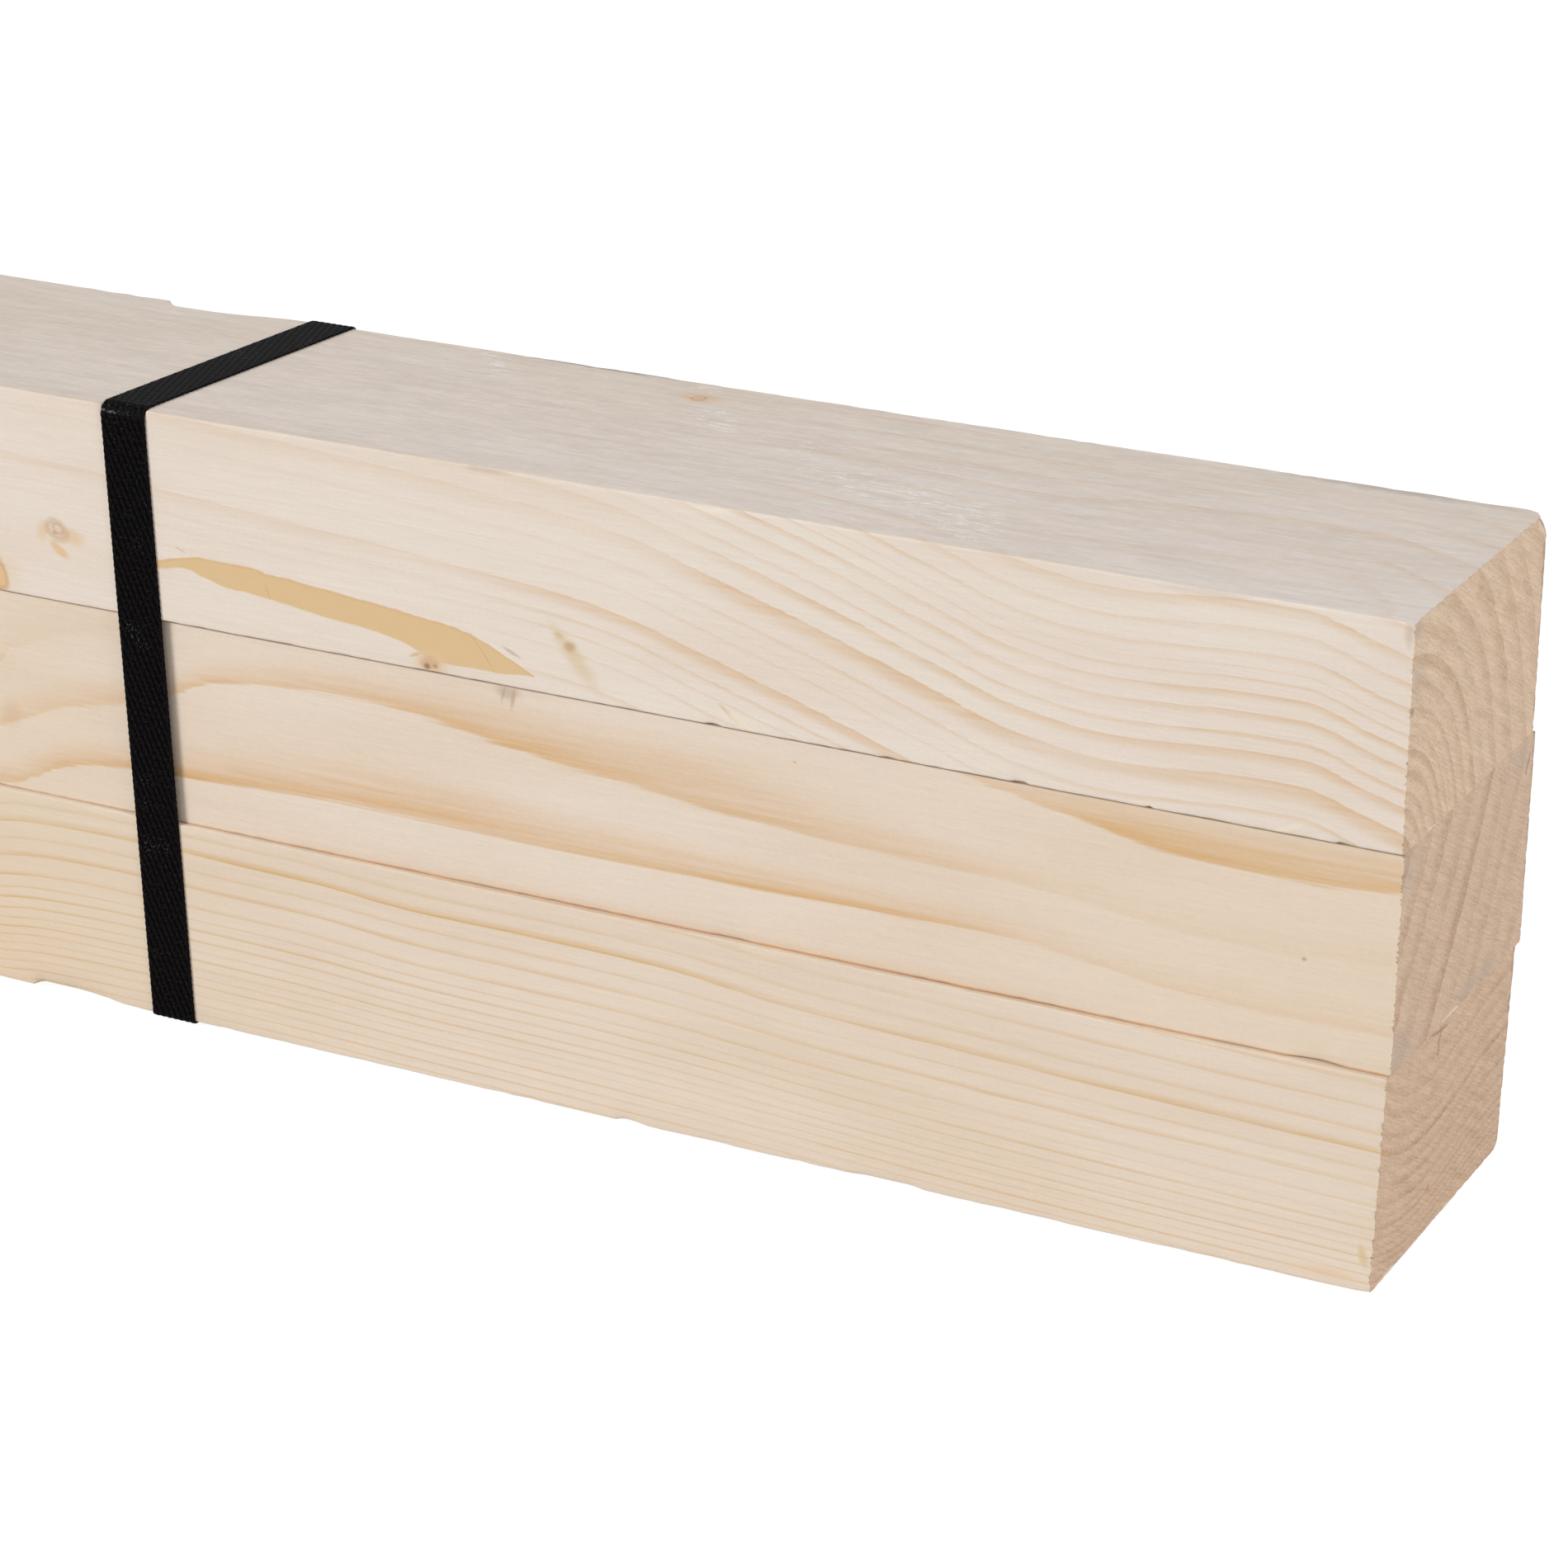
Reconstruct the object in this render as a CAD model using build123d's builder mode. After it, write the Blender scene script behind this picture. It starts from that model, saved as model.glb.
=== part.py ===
from build123d import *

import os
from math import radians, tan

# Battens: planed softwood, sawn square at both ends
batten_width = 69.0
batten_height = 44.0
batten_length = 2100.0
front_arris_radius = 0.8
back_arris_radius = 2.5

# The stack: the middle batten lies further back, the bottom one is pushed in at the right end
middle_setback = 1.2
bottom_end_step = 0.5

# Straps: flat plastic strapping, pulled taut, its two ends lapped and welded on the back run
strap_width = 10.2
strap_thickness = 0.6
strap_inset = 271.8
lap_length = 34.0

# A strap drifts towards its end of the stack, on its way down the front and back over the top
strap_lean_degrees = 2.45
strap_skew_degrees = 5.7

# The stack rests on the straps, with its middle over the origin
front = -batten_width / 2
back = batten_width / 2
bottom_level = strap_thickness
middle_level = bottom_level + batten_height
top_level = middle_level + batten_height
stack_top = top_level + batten_height

os.makedirs("parts", exist_ok=True)

# Battens: name, underside, setback from the front, step along the stack
battens = (
    ("batten_bottom", bottom_level, 0, -bottom_end_step),
    ("batten_middle", middle_level, middle_setback, 0),
    ("batten_top", top_level, 0, 0),
)

for name, underside, setback, end_step in battens:
    with BuildPart() as batten:
        with BuildSketch(Plane.YZ.offset(end_step - batten_length / 2)) as section:
            with Locations((setback, underside + batten_height / 2)):
                Rectangle(batten_width, batten_height)
            fillet(section.vertices().group_by(Axis.X)[0], front_arris_radius)
            fillet(section.vertices().group_by(Axis.X)[-1], back_arris_radius)
        extrude(amount=batten_length)
    batten.part.label = name
    export_step(batten.part, f"parts/{name}.step")

# The shortest loop round the stack: a taut strap bears on the arrises of the whole stack
# and on those of the middle batten where it stands out
quarter_turn = 90
bearing_levels = ((bottom_level, stack_top, 0), (middle_level, top_level, middle_setback))

with BuildSketch() as taut_loop:
    with BuildLine():
        for low, high, setback in bearing_levels:
            front_round = front + setback + front_arris_radius
            back_round = back + setback - back_arris_radius
            CenterArc((back_round, high - back_arris_radius), back_arris_radius, 0, quarter_turn)
            CenterArc((front_round, high - front_arris_radius), front_arris_radius, quarter_turn, quarter_turn)
            CenterArc((front_round, low + front_arris_radius), front_arris_radius, 2 * quarter_turn, quarter_turn)
            CenterArc((back_round, low + back_arris_radius), back_arris_radius, 3 * quarter_turn, quarter_turn)
    make_hull()

# Straps: name, and the side of the origin that each one lies on
straps = (("strap_right", 1), ("strap_left", -1))
lap_middle = (back + middle_setback, (middle_level + top_level) / 2)
lap_reach = 4 * strap_thickness

# A strap is trimmed to its leaning edges from a wider blank
lean_drift = (stack_top - bottom_level) * tan(radians(strap_lean_degrees))
skew_drift = batten_width * tan(radians(strap_skew_degrees))
blank_reach = strap_width + lean_drift + skew_drift

for name, side in straps:
    strap_place = side * (batten_length / 2 - strap_inset)
    square_across = Plane((strap_place, front, stack_top), x_dir=(0, 1, 0), z_dir=(1, 0, 0))
    strap_middle = square_across.rotated((0, -side * strap_lean_degrees, -side * strap_skew_degrees))
    with BuildPart() as strap:
        with BuildSketch(Plane.YZ.offset(strap_place)):
            offset(taut_loop.sketch, amount=2 * strap_thickness, mode=Mode.ADD)
            with Locations(lap_middle):
                Rectangle(lap_reach, lap_length, mode=Mode.INTERSECT)
            offset(taut_loop.sketch, amount=strap_thickness, mode=Mode.ADD)
            add(taut_loop.sketch, mode=Mode.SUBTRACT)
        extrude(amount=blank_reach, both=True)
        split(bisect_by=strap_middle.offset(-strap_width / 2), keep=Keep.TOP)
        split(bisect_by=strap_middle.offset(strap_width / 2), keep=Keep.BOTTOM)
    strap.part.label = name
    export_step(strap.part, f"parts/{name}.step")
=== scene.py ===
import logging
from dataclasses import dataclass, field
from enum import Enum
from math import acos, atan2, ceil, cos, hypot, pi, radians, sin, sqrt, tan
from typing import Union

import bpy
import numpy as np
from mathutils import Matrix, Vector


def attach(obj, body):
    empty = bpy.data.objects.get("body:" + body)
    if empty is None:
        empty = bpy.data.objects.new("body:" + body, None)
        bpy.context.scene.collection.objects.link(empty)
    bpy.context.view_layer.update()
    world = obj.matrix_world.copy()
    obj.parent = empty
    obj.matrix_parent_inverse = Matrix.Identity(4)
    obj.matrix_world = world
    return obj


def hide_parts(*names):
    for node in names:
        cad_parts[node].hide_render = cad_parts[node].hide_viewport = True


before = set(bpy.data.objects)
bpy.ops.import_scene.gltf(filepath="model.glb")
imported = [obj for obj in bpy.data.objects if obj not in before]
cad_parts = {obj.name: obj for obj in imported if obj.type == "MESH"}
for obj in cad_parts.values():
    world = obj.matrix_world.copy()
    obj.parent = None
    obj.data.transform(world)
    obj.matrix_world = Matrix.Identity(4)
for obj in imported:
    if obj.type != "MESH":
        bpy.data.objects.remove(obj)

LOG = logging.getLogger("batten_bundle")
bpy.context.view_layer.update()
BODY = "root"
BAKE_MAP = "OFBake"

# Sizes in this script are in millimetres, Blender's are in metres
MM = 0.001

# Noise runs from 0 to 1, with little or more detail
NOISE_MIDDLE = 0.5
SMOOTH_DETAIL = 1.0
FINE_DETAIL = 2.0

WHITE = (1.0, 1.0, 1.0, 1.0)

Colour = tuple[float, float, float]
Pitch = tuple[float, float, float]
Span = tuple[float, float]
Points = tuple[Span, ...]
Chart = tuple[tuple[float, Points], ...]
Value = Union["Wire", float]


def paint(red: int, green: int, blue: int) -> Colour:
    """Turn a colour as it looks on a screen into the light that it reflects.

    Args:
        red: Red, 0 to 255.
        green: Green, 0 to 255.
        blue: Blue, 0 to 255.

    Returns:
        The three linear values.
    """
    toe, toe_slope, offset, power, full = 0.04045, 12.92, 0.055, 2.4, 255.0
    shares = (red / full, green / full, blue / full)
    return tuple(s / toe_slope if s <= toe else ((s + offset) / (1 + offset)) ** power for s in shares)


def smooth(share: np.ndarray) -> np.ndarray:
    """Ease a share in and out."""
    return share * share * (3 - 2 * share)


def counted(places: tuple[float, ...]) -> Points:
    """Number places from 0 on."""
    return tuple((place, float(number)) for number, place in enumerate(places))


# Shader building


class Wire:
    """An output socket that can be used in Python sums, which add Math nodes."""

    def __init__(self, bench: "Bench", socket: bpy.types.NodeSocket) -> None:
        """Keep the socket and the bench that its tree is filled on."""
        self.bench = bench
        self.socket = socket

    def __add__(self, other: Value) -> "Wire":
        """Add a value."""
        return self.bench.maths("ADD", self, other)

    def __radd__(self, other: Value) -> "Wire":
        """Add to a value."""
        return self.bench.maths("ADD", other, self)

    def __sub__(self, other: Value) -> "Wire":
        """Take a value away."""
        return self.bench.maths("SUBTRACT", self, other)

    def __rsub__(self, other: Value) -> "Wire":
        """Take away from a value."""
        return self.bench.maths("SUBTRACT", other, self)

    def __mul__(self, other: Value) -> "Wire":
        """Multiply by a value."""
        return self.bench.maths("MULTIPLY", self, other)

    def __rmul__(self, other: Value) -> "Wire":
        """Multiply a value."""
        return self.bench.maths("MULTIPLY", other, self)

    def __truediv__(self, other: Value) -> "Wire":
        """Divide by a value."""
        return self.bench.maths("DIVIDE", self, other)

    def __rtruediv__(self, other: Value) -> "Wire":
        """Divide a value."""
        return self.bench.maths("DIVIDE", other, self)

    def __mod__(self, other: Value) -> "Wire":
        """Give the rest of a division, never below zero."""
        return self.bench.maths("FLOORED_MODULO", self, other)

    def __abs__(self) -> "Wire":
        """Drop the sign."""
        return self.bench.maths("ABSOLUTE", self)

    def floor(self) -> "Wire":
        """Round down."""
        return self.bench.maths("FLOOR", self)

    def root(self) -> "Wire":
        """Take the square root."""
        return self.bench.maths("SQRT", self)

    def centred(self) -> "Wire":
        """Shift a noise to run either side of zero."""
        return self - NOISE_MIDDLE

    def least(self, other: Value) -> "Wire":
        """Keep the smaller of two values."""
        return self.bench.maths("MINIMUM", self, other)

    def most(self, other: Value) -> "Wire":
        """Keep the larger of two values."""
        return self.bench.maths("MAXIMUM", self, other)

    def rise(self, start: float, end: float) -> "Wire":
        """Go smoothly from 0 at start to 1 at end, or from 1 to 0 if end is the smaller."""
        sockets = {0: self, 1: start, 2: end}
        return self.bench.node("ShaderNodeMapRange", {"interpolation_type": "SMOOTHSTEP"}, sockets)

    def ramp(self, start: float, end: float) -> "Wire":
        """Go straight from 0 at start to 1 at end, and stay there."""
        return self.bench.node("ShaderNodeMapRange", {"clamp": True}, {0: self, 1: start, 2: end})

    def mapped(self, points: Points) -> "Wire":
        """Read a smooth curve through given points, level beyond its ends.

        Args:
            points: Pairs of this wire's value and the value to give there, in rising order.

        Returns:
            The curve's value.
        """
        first, last = points[0][0], points[-1][0]
        low = min(value for _, value in points)
        span = max(value for _, value in points) - low
        spots = tuple(((at - first) / (last - first), (value - low) / span) for at, value in points)
        share = self.bench.node("ShaderNodeFloatCurve", {"curve": spots}, {1: self.ramp(first, last)})
        return share * span + low


class Bench:
    """A node tree that is being filled."""

    def __init__(self, tree: bpy.types.NodeTree) -> None:
        """Take over a tree and empty it."""
        self.tree = tree
        tree.nodes.clear()

    def node(
        self,
        kind: str,
        settings: dict[str, object] | None = None,
        sockets: dict[int | str, object] | None = None,
        output: int | str = 0,
    ) -> Wire:
        """Add one node.

        Args:
            kind: Blender's name of the node type.
            settings: What is set before the sockets; "curve" and "stops" are lists of points.
            sockets: Values of its inputs, or wires to link to them.
            output: The output to hand back.

        Returns:
            That output, or an empty wire where the node has none.
        """
        made = self.tree.nodes.new(kind)
        for name, value in (settings or {}).items():
            if name == "curve":
                self._bend(made, value)
            elif name == "stops":
                self._grade(made, value)
            else:
                setattr(made, name, value)
        for name, value in (sockets or {}).items():
            if isinstance(value, Wire):
                self.tree.links.new(value.socket, made.inputs[name])
            else:
                made.inputs[name].default_value = value
        return Wire(self, made.outputs[output] if len(made.outputs) else None)

    def _bend(self, made: bpy.types.Node, points: Points) -> None:
        """Put points on a curve node.

        Args:
            made: The node.
            points: What its curve goes through.
        """
        line = made.mapping.curves[0]
        line.points[0].location = points[0]
        line.points[1].location = points[-1]
        for at, value in points[1:-1]:
            line.points.new(at, value)
        for spot in line.points:
            spot.handle_type = "AUTO_CLAMPED"
        made.mapping.update()

    def _grade(self, made: bpy.types.Node, stops: Points) -> None:
        """Put grey stops on a ramp node that steps from one to the next.

        Args:
            made: The node.
            stops: The place and the grey of each stop.
        """
        ramp = made.color_ramp
        ramp.interpolation = "CONSTANT"
        ramp.elements.remove(ramp.elements[1])
        for index, (at, grey) in enumerate(stops):
            element = ramp.elements.new(at) if index else ramp.elements[0]
            element.position = at
            element.color = (grey, grey, grey, 1.0)

    def maths(self, operation: str, first: Value, second: Value = 0.0) -> Wire:
        """Add a Math node."""
        return self.node("ShaderNodeMath", {"operation": operation}, {0: first, 1: second})

    def mix(self, share: Value, under: object, over: object) -> Wire:
        """Lay one colour over another by a share."""
        sockets = {0: share, 6: self._shown(under), 7: self._shown(over)}
        return self.node("ShaderNodeMix", {"data_type": "RGBA"}, sockets, 2)

    def scaled(self, colour: Wire, factor: Value) -> Wire:
        """Make a colour or a vector larger or smaller."""
        return self.node("ShaderNodeVectorMath", {"operation": "SCALE"}, {0: colour, 3: factor})

    def weighed(self, vector: Wire, weights: Pitch) -> Wire:
        """Add up a vector's parts, each times its weight."""
        sockets = {0: vector, 1: weights}
        return self.node("ShaderNodeVectorMath", {"operation": "DOT_PRODUCT"}, sockets, "Value")

    def parts(self, vector: Wire) -> tuple[Wire, Wire, Wire]:
        """Split a vector into its three parts."""
        outputs = self.node("ShaderNodeSeparateXYZ", None, {0: vector}).socket.node.outputs
        return tuple(Wire(self, socket) for socket in outputs)

    def noise(self, place: Wire, pitch: Pitch, detail: float = FINE_DETAIL) -> Wire:
        """Add cloudy noise.

        Args:
            place: The point that it is read at.
            pitch: About how long its blotches are on each axis.
            detail: How much finer noise lies over them.

        Returns:
            The noise, from 0 to 1.
        """
        stretch = tuple(1.0 / length for length in pitch)
        seen = self.node("ShaderNodeVectorMath", {"operation": "MULTIPLY"}, {0: place, 1: stretch})
        return self.node("ShaderNodeTexNoise", None, {"Vector": seen, "Scale": 1.0, "Detail": detail})

    def place(self) -> Wire:
        """Give a point's place on its piece, in millimetres."""
        return self.scaled(self.node("ShaderNodeTexCoord", None, None, "Object"), 1.0 / MM)

    def surface(self, sockets: dict[int | str, object]) -> None:
        """Add the shader of a solid surface, and the output."""
        shader = self.node("ShaderNodeBsdfPrincipled", None, sockets)
        self.node("ShaderNodeOutputMaterial", None, {"Surface": shader})

    def _shown(self, colour: object) -> object:
        """Give a plain colour its alpha."""
        return colour if isinstance(colour, Wire) else (*colour, 1.0)


def blank_material(name: str) -> tuple[bpy.types.Material, Bench]:
    """Make a material whose tree is empty.

    Args:
        name: The material's name.

    Returns:
        The material, and the bench to fill its tree on.
    """
    made = bpy.data.materials.new(name)
    made.use_nodes = True
    return made, Bench(made.node_tree)


def put(name: str, data: bpy.types.ID) -> bpy.types.Object:
    """Make an object and put it into the scene.

    Args:
        name: The object's name.
        data: Its mesh, light or camera.

    Returns:
        The object.
    """
    made = bpy.data.objects.new(name, data)
    bpy.context.scene.collection.objects.link(made)
    return made


# Finishes


class Face(Enum):
    """The side of a batten that a mark is on."""

    FRONT = "front"
    TOP = "top"
    END = "end"


class MarkKind(Enum):
    """How a mark's colour is laid."""

    SPOT = "spot"
    RING = "ring"
    SCUFF = "scuff"


@dataclass(frozen=True)
class Mark:
    """A coloured mark on one face: an ellipse with a ragged edge."""

    face: Face
    place: Span
    half: Span
    colour: Colour
    tilt: float = 0.0
    softness: float = 0.3
    strength: float = 1.0
    ragged: float = 0.3
    kind: MarkKind = MarkKind.SPOT

    def weights(self) -> tuple[Pitch, Pitch]:
        """Work out how a place on the face turns into shares of the mark's half lengths.

        Returns:
            What the place's two parts and 1 are multiplied by, along the mark and across it.
        """
        turn = radians(self.tilt)
        along, across = (cos(turn), sin(turn)), (-sin(turn), cos(turn))
        rows = []
        for half, way in zip(self.half, (along, across)):
            shift = way[0] * self.place[0] + way[1] * self.place[1]
            rows.append((way[0] / half, way[1] / half, -shift / half))
        return tuple(rows)


@dataclass(frozen=True)
class ResinPocket:
    """A flat lens of resin in the front face, between two lines."""

    upper: Points
    lower: Points
    colour: Colour
    rim: Colour


@dataclass(frozen=True)
class Grain:
    """How a batten grew: its pith, its rings, and how they drift and fade along it.

    A chart holds a curve along the batten for each of some levels.
    """

    pith: Span
    rings: Points
    strengths: tuple[float, ...]
    climbs: Chart
    far_climb: Points
    vigours: Chart
    opens_upward: bool = False
    front: float = -34.5
    least_rise: float = 4.0
    swing: Points = ()
    swing_room: float = 8.0
    flattening: float = 0.0
    late_shares: Span = (0.1, 0.6)
    end_late_share: float = 0.7
    end_vigour: float = 0.9
    line_share: float = 0.3
    wander: float = 0.25


@dataclass(frozen=True)
class Looks:
    """What a wood's nodes share: where a point is, which way it faces, and its noises."""

    bench: Bench
    place: Wire
    axes: tuple[Wire, Wire, Wire]
    faces: dict[Face, Wire]
    planes: dict[Face, Wire]
    marked: dict[Face, Wire]
    fibre: Wire
    fleck: Wire
    ragged: Wire
    cloud: Wire
    flake: Wire
    scuffed: Wire
    sawn: Wire


@dataclass(frozen=True)
class WoodTexture:
    """The pitches of a wood's noises, along, across and up the batten, or with the saw's stroke."""

    fibre: Pitch = (26.0, 0.55, 0.55)
    fleck: Pitch = (0.9, 0.5, 0.5)
    flake: Pitch = (4.5, 0.8, 0.8)
    ragged: Pitch = (3.0, 1.1, 1.1)
    cloud: Pitch = (70.0, 16.0, 16.0)
    drift: Pitch = (60.0, 9.0, 9.0)
    fade: Pitch = (110.0, 12.0, 12.0)
    streak: Pitch = (40.0, 1.1, 1.1)
    wool: Pitch = (7.0, 0.3, 0.3)
    grime: Pitch = (18.0, 2.2, 2.2)
    blotch: Pitch = (8.0, 5.0, 5.0)
    speck: Pitch = (0.4, 0.45, 0.45)
    sawn: Pitch = (5.0, 0.5, 1.0)
    sawn_turn: float = -28.0


@dataclass(frozen=True)
class PlanedWood:
    """Dry planed softwood with sawn end grain."""

    name: str
    grain: Grain
    early: Colour
    early_warm: Colour
    late: Colour
    end_early: Colour
    end_late: Colour
    marks: tuple[Mark, ...] = ()
    pocket: ResinPocket | None = None
    # The grey colours and their share paint a cool tint on the top face, standing in for the light from
    # above.
    top_tint_share: float = 0.0
    grey: Colour = paint(229, 221, 220)
    top_tint_behind: Colour = paint(218, 203, 193)
    texture: WoodTexture = WoodTexture()
    specular: float = 0.3
    roughness: float = 0.5
    fibre_roughness: float = 0.16
    end_roughness: float = 0.2
    fibre_height: float = 0.06
    sawn_height: float = 0.3
    bump_strength: float = 0.6

    def material(self) -> bpy.types.Material:
        """Make the material.

        Returns:
            A new material with all its nodes.
        """
        made, bench = blank_material(self.name)
        looks = self._looks(bench)
        late, line = self._rings(looks)
        colour = self._long_grain(looks, late, line)
        colour = self._top_light_tinted(looks, colour)
        on_end = looks.faces[Face.END]
        colour = bench.mix(on_end, colour, self._end_grain(looks, late, line))
        rough = looks.fibre * self.fibre_roughness + on_end * self.end_roughness + self.roughness
        if self.pocket:
            colour, rough = self._resin(looks, colour, rough)
        for mark in self.marks:
            colour = self._marked(looks, mark, colour)
        height = looks.fibre * self.fibre_height + on_end * looks.sawn * self.sawn_height
        relief = {"Strength": self.bump_strength, "Distance": MM, "Height": height}
        sockets = {
            "Base Color": colour,
            "Roughness": rough,
            "Specular IOR Level": self.specular,
            "Normal": bench.node("ShaderNodeBump", None, relief),
        }
        bench.surface(sockets)
        return made

    def _looks(self, bench: Bench) -> Looks:
        """Add the nodes that the others share.

        Args:
            bench: Where the nodes are added.

        Returns:
            The shared wires.
        """
        texture, stroke_turn, stroke_depth = self.texture, radians(self.texture.sawn_turn), 0.01
        side_edges, end_edges, right_end = (0.45, 0.75), (0.45, 0.7), (0.0, 1.0)
        fleck_share, scuff_edges = 0.4, (0.53, 0.67)
        place = bench.place()
        axes = bench.parts(place)
        along, across, up = axes
        with_stroke = across * cos(stroke_turn) + up * sin(stroke_turn)
        over_stroke = up * cos(stroke_turn) - across * sin(stroke_turn)
        sockets = {0: with_stroke, 1: over_stroke, 2: along * stroke_depth}
        stroke = bench.node("ShaderNodeCombineXYZ", None, sockets)
        facing = bench.parts(bench.node("ShaderNodeNewGeometry", None, None, "Normal"))
        faces = {
            Face.FRONT: (facing[1] * -1.0).rise(*side_edges),
            Face.TOP: facing[2].rise(*side_edges),
            Face.END: abs(facing[0]).rise(*end_edges),
        }
        spans = {Face.FRONT: (0, 2), Face.TOP: (0, 1), Face.END: (1, 2)}
        planes = {
            face: bench.node("ShaderNodeCombineXYZ", None, {0: axes[first], 1: axes[second], 2: 1.0})
            for face, (first, second) in spans.items()
        }
        fleck = bench.noise(place, texture.fleck, SMOOTH_DETAIL)
        flake = bench.noise(place, texture.flake)
        return Looks(
            bench=bench,
            place=place,
            axes=axes,
            faces=faces,
            planes=planes,
            marked={**faces, Face.END: faces[Face.END] * along.rise(*right_end)},
            fibre=bench.noise(place, texture.fibre),
            fleck=fleck,
            ragged=bench.noise(place, texture.ragged).centred(),
            cloud=bench.noise(place, texture.cloud, SMOOTH_DETAIL),
            flake=flake,
            scuffed=(fleck.centred() * fleck_share + flake).rise(*scuff_edges),
            sawn=bench.noise(stroke, texture.sawn),
        )

    def _rings(self, looks: Looks) -> tuple[Wire, Wire]:
        """Work out the late wood of the growth rings at each point of the batten.

        Args:
            looks: The shared wires.

        Returns:
            The soft tan of the late wood, and the thin line that ends each ring.
        """
        grain, bench, texture = self.grain, looks.bench, self.texture
        fibre_shift, step_middle, close_edges = 0.12, 0.5, (1.0, 0.95)
        late_edges, line_edges = (0.0, 0.7), (0.8, 0.93)
        fade_edges, fade_gain, fade_least = (0.25, 0.7), 0.5, 0.6
        streak_edges, streak_gain, streak_least = (0.3, 0.7), 0.6, 0.7
        along, across, up = looks.axes
        side = across - grain.pith[0]
        if grain.swing:
            settled = across.ramp(grain.front, grain.front + grain.swing_room)
            side = side - along.mapped(grain.swing) * settled
        if grain.flattening:
            beyond = side.most(0.0)
            side = side - beyond * beyond * grain.flattening
        rise = up - self._charted(looks, grain.climbs) - along.mapped(grain.far_climb) - grain.pith[1]
        if grain.opens_upward:
            above = rise.most(grain.least_rise)
            near = grain.front - grain.pith[0]
            reach = rise + (side * side + above * above).root() - (above * above + near * near).root()
        else:
            reach = (side * side + rise * rise).root()
        drift = bench.noise(looks.place, texture.drift).centred()
        shift = drift * grain.wander + looks.fibre.centred() * fibre_shift
        number = reach.mapped(grain.rings) + shift
        within = number % 1.0
        count = len(grain.strengths)
        stops = tuple((index / count, strength) for index, strength in enumerate(grain.strengths))
        which = (number.floor() % float(count) + step_middle) / count
        strength = bench.node("ShaderNodeValToRGB", {"stops": stops}, {0: which})
        fade = bench.noise(looks.place, texture.fade, SMOOTH_DETAIL).rise(*fade_edges)
        on_end = looks.faces[Face.END]
        vigour = self._charted(looks, grain.vigours)
        vigour = vigour + (grain.end_vigour - vigour) * on_end
        shown = within.rise(*close_edges) * strength * (fade * fade_gain + fade_least) * vigour
        streak = bench.noise(looks.place, texture.streak).rise(*streak_edges) * streak_gain + streak_least
        least_share, more_share = grain.late_shares
        late_share = strength * more_share + least_share
        late_share = late_share + (grain.end_late_share - late_share) * on_end
        late = ((within - 1.0) / late_share + 1.0).rise(*late_edges)
        return late * shown * streak, within.rise(*line_edges) * shown

    def _charted(self, looks: Looks, chart: Chart) -> Wire:
        """Read a chart's curves along the batten, blended by level.

        Args:
            looks: The shared wires.
            chart: The levels and their curves.

        Returns:
            The blended value.
        """
        along, _, up = looks.axes
        value = along.mapped(chart[0][1])
        for (below, _), (level, points) in zip(chart, chart[1:]):
            value = value + (along.mapped(points) - value) * up.ramp(below, level)
        return value

    def _long_grain(self, looks: Looks, late: Wire, line: Wire) -> Wire:
        """Colour the faces along the grain.

        Args:
            looks: The shared wires.
            late: Soft late wood.
            line: Thin ring lines.

        Returns:
            The colour.
        """
        bench, share = looks.bench, self.grain.line_share
        warm_edges, fibre_share, fleck_share, wool_share = (0.35, 0.7), 0.1, 0.08, 0.13
        colour = bench.mix(looks.cloud.rise(*warm_edges), self.early, self.early_warm)
        colour = bench.mix(late * (1.0 - share) + line * share, colour, self.late)
        wool = bench.noise(looks.place, self.texture.wool).centred()
        uneven = looks.fibre.centred() * fibre_share + looks.fleck.centred() * fleck_share
        uneven = uneven + wool * wool_share
        return bench.scaled(colour, uneven + 1.0)

    def _top_light_tinted(self, looks: Looks, colour: Wire) -> Wire:
        """Paint a cool grey tint over the top face for the light from above, unevenly, and warmer towards
        the back.

        Args:
            looks: The shared wires.
            colour: The colour so far.

        Returns:
            The new colour.
        """
        bench = looks.bench
        along, across, _ = looks.axes
        back_run, left_run, left_share = (-32.0, 30.0), (900.0, 780.0), 0.5
        edge_raggedness, edge_run = 3.0, (-34.6, -33.0)
        grime_share, flake_share, ripple_share, ripple_pitch = 0.28, 0.16, 0.006, 3.1
        grime = bench.noise(looks.place, self.texture.grime).centred()
        behind = (across.ramp(*back_run) + along.ramp(*left_run) * left_share).least(1.0)
        edge = (across + looks.ragged * edge_raggedness).rise(*edge_run)
        on_top = looks.faces[Face.TOP]
        # Painted light: the top face is tinted cool grey for the light from above, warmer towards the back
        # and the left.
        grey = bench.mix(behind, self.grey, self.top_tint_behind)
        tinted = bench.mix(on_top * edge * self.top_tint_share, colour, grey)
        ripple = bench.maths("SINE", along * (2.0 * pi / ripple_pitch)) * ripple_share
        uneven = grime * grime_share + looks.flake.centred() * flake_share + ripple
        return bench.scaled(tinted, on_top * uneven + 1.0)

    def _end_grain(self, looks: Looks, late: Wire, line: Wire) -> Wire:
        """Colour the sawn ends.

        Args:
            looks: The shared wires.
            late: Soft late wood.
            line: Thin ring lines.

        Returns:
            The colour.
        """
        bench, texture = looks.bench, self.texture
        late_share, line_share, blotch_share, sawn_share, speck_share = 0.9, 0.1, 0.6, 0.42, 0.55
        blotch = bench.noise(looks.place, texture.blotch).centred()
        speck = bench.noise(looks.place, texture.speck).centred()
        share = late * late_share + line * line_share + blotch * blotch_share
        colour = bench.mix(share.most(0.0).least(1.0), self.end_early, self.end_late)
        uneven = looks.sawn.centred() * sawn_share + speck * speck_share
        return bench.scaled(colour, uneven + 1.0)

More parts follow.
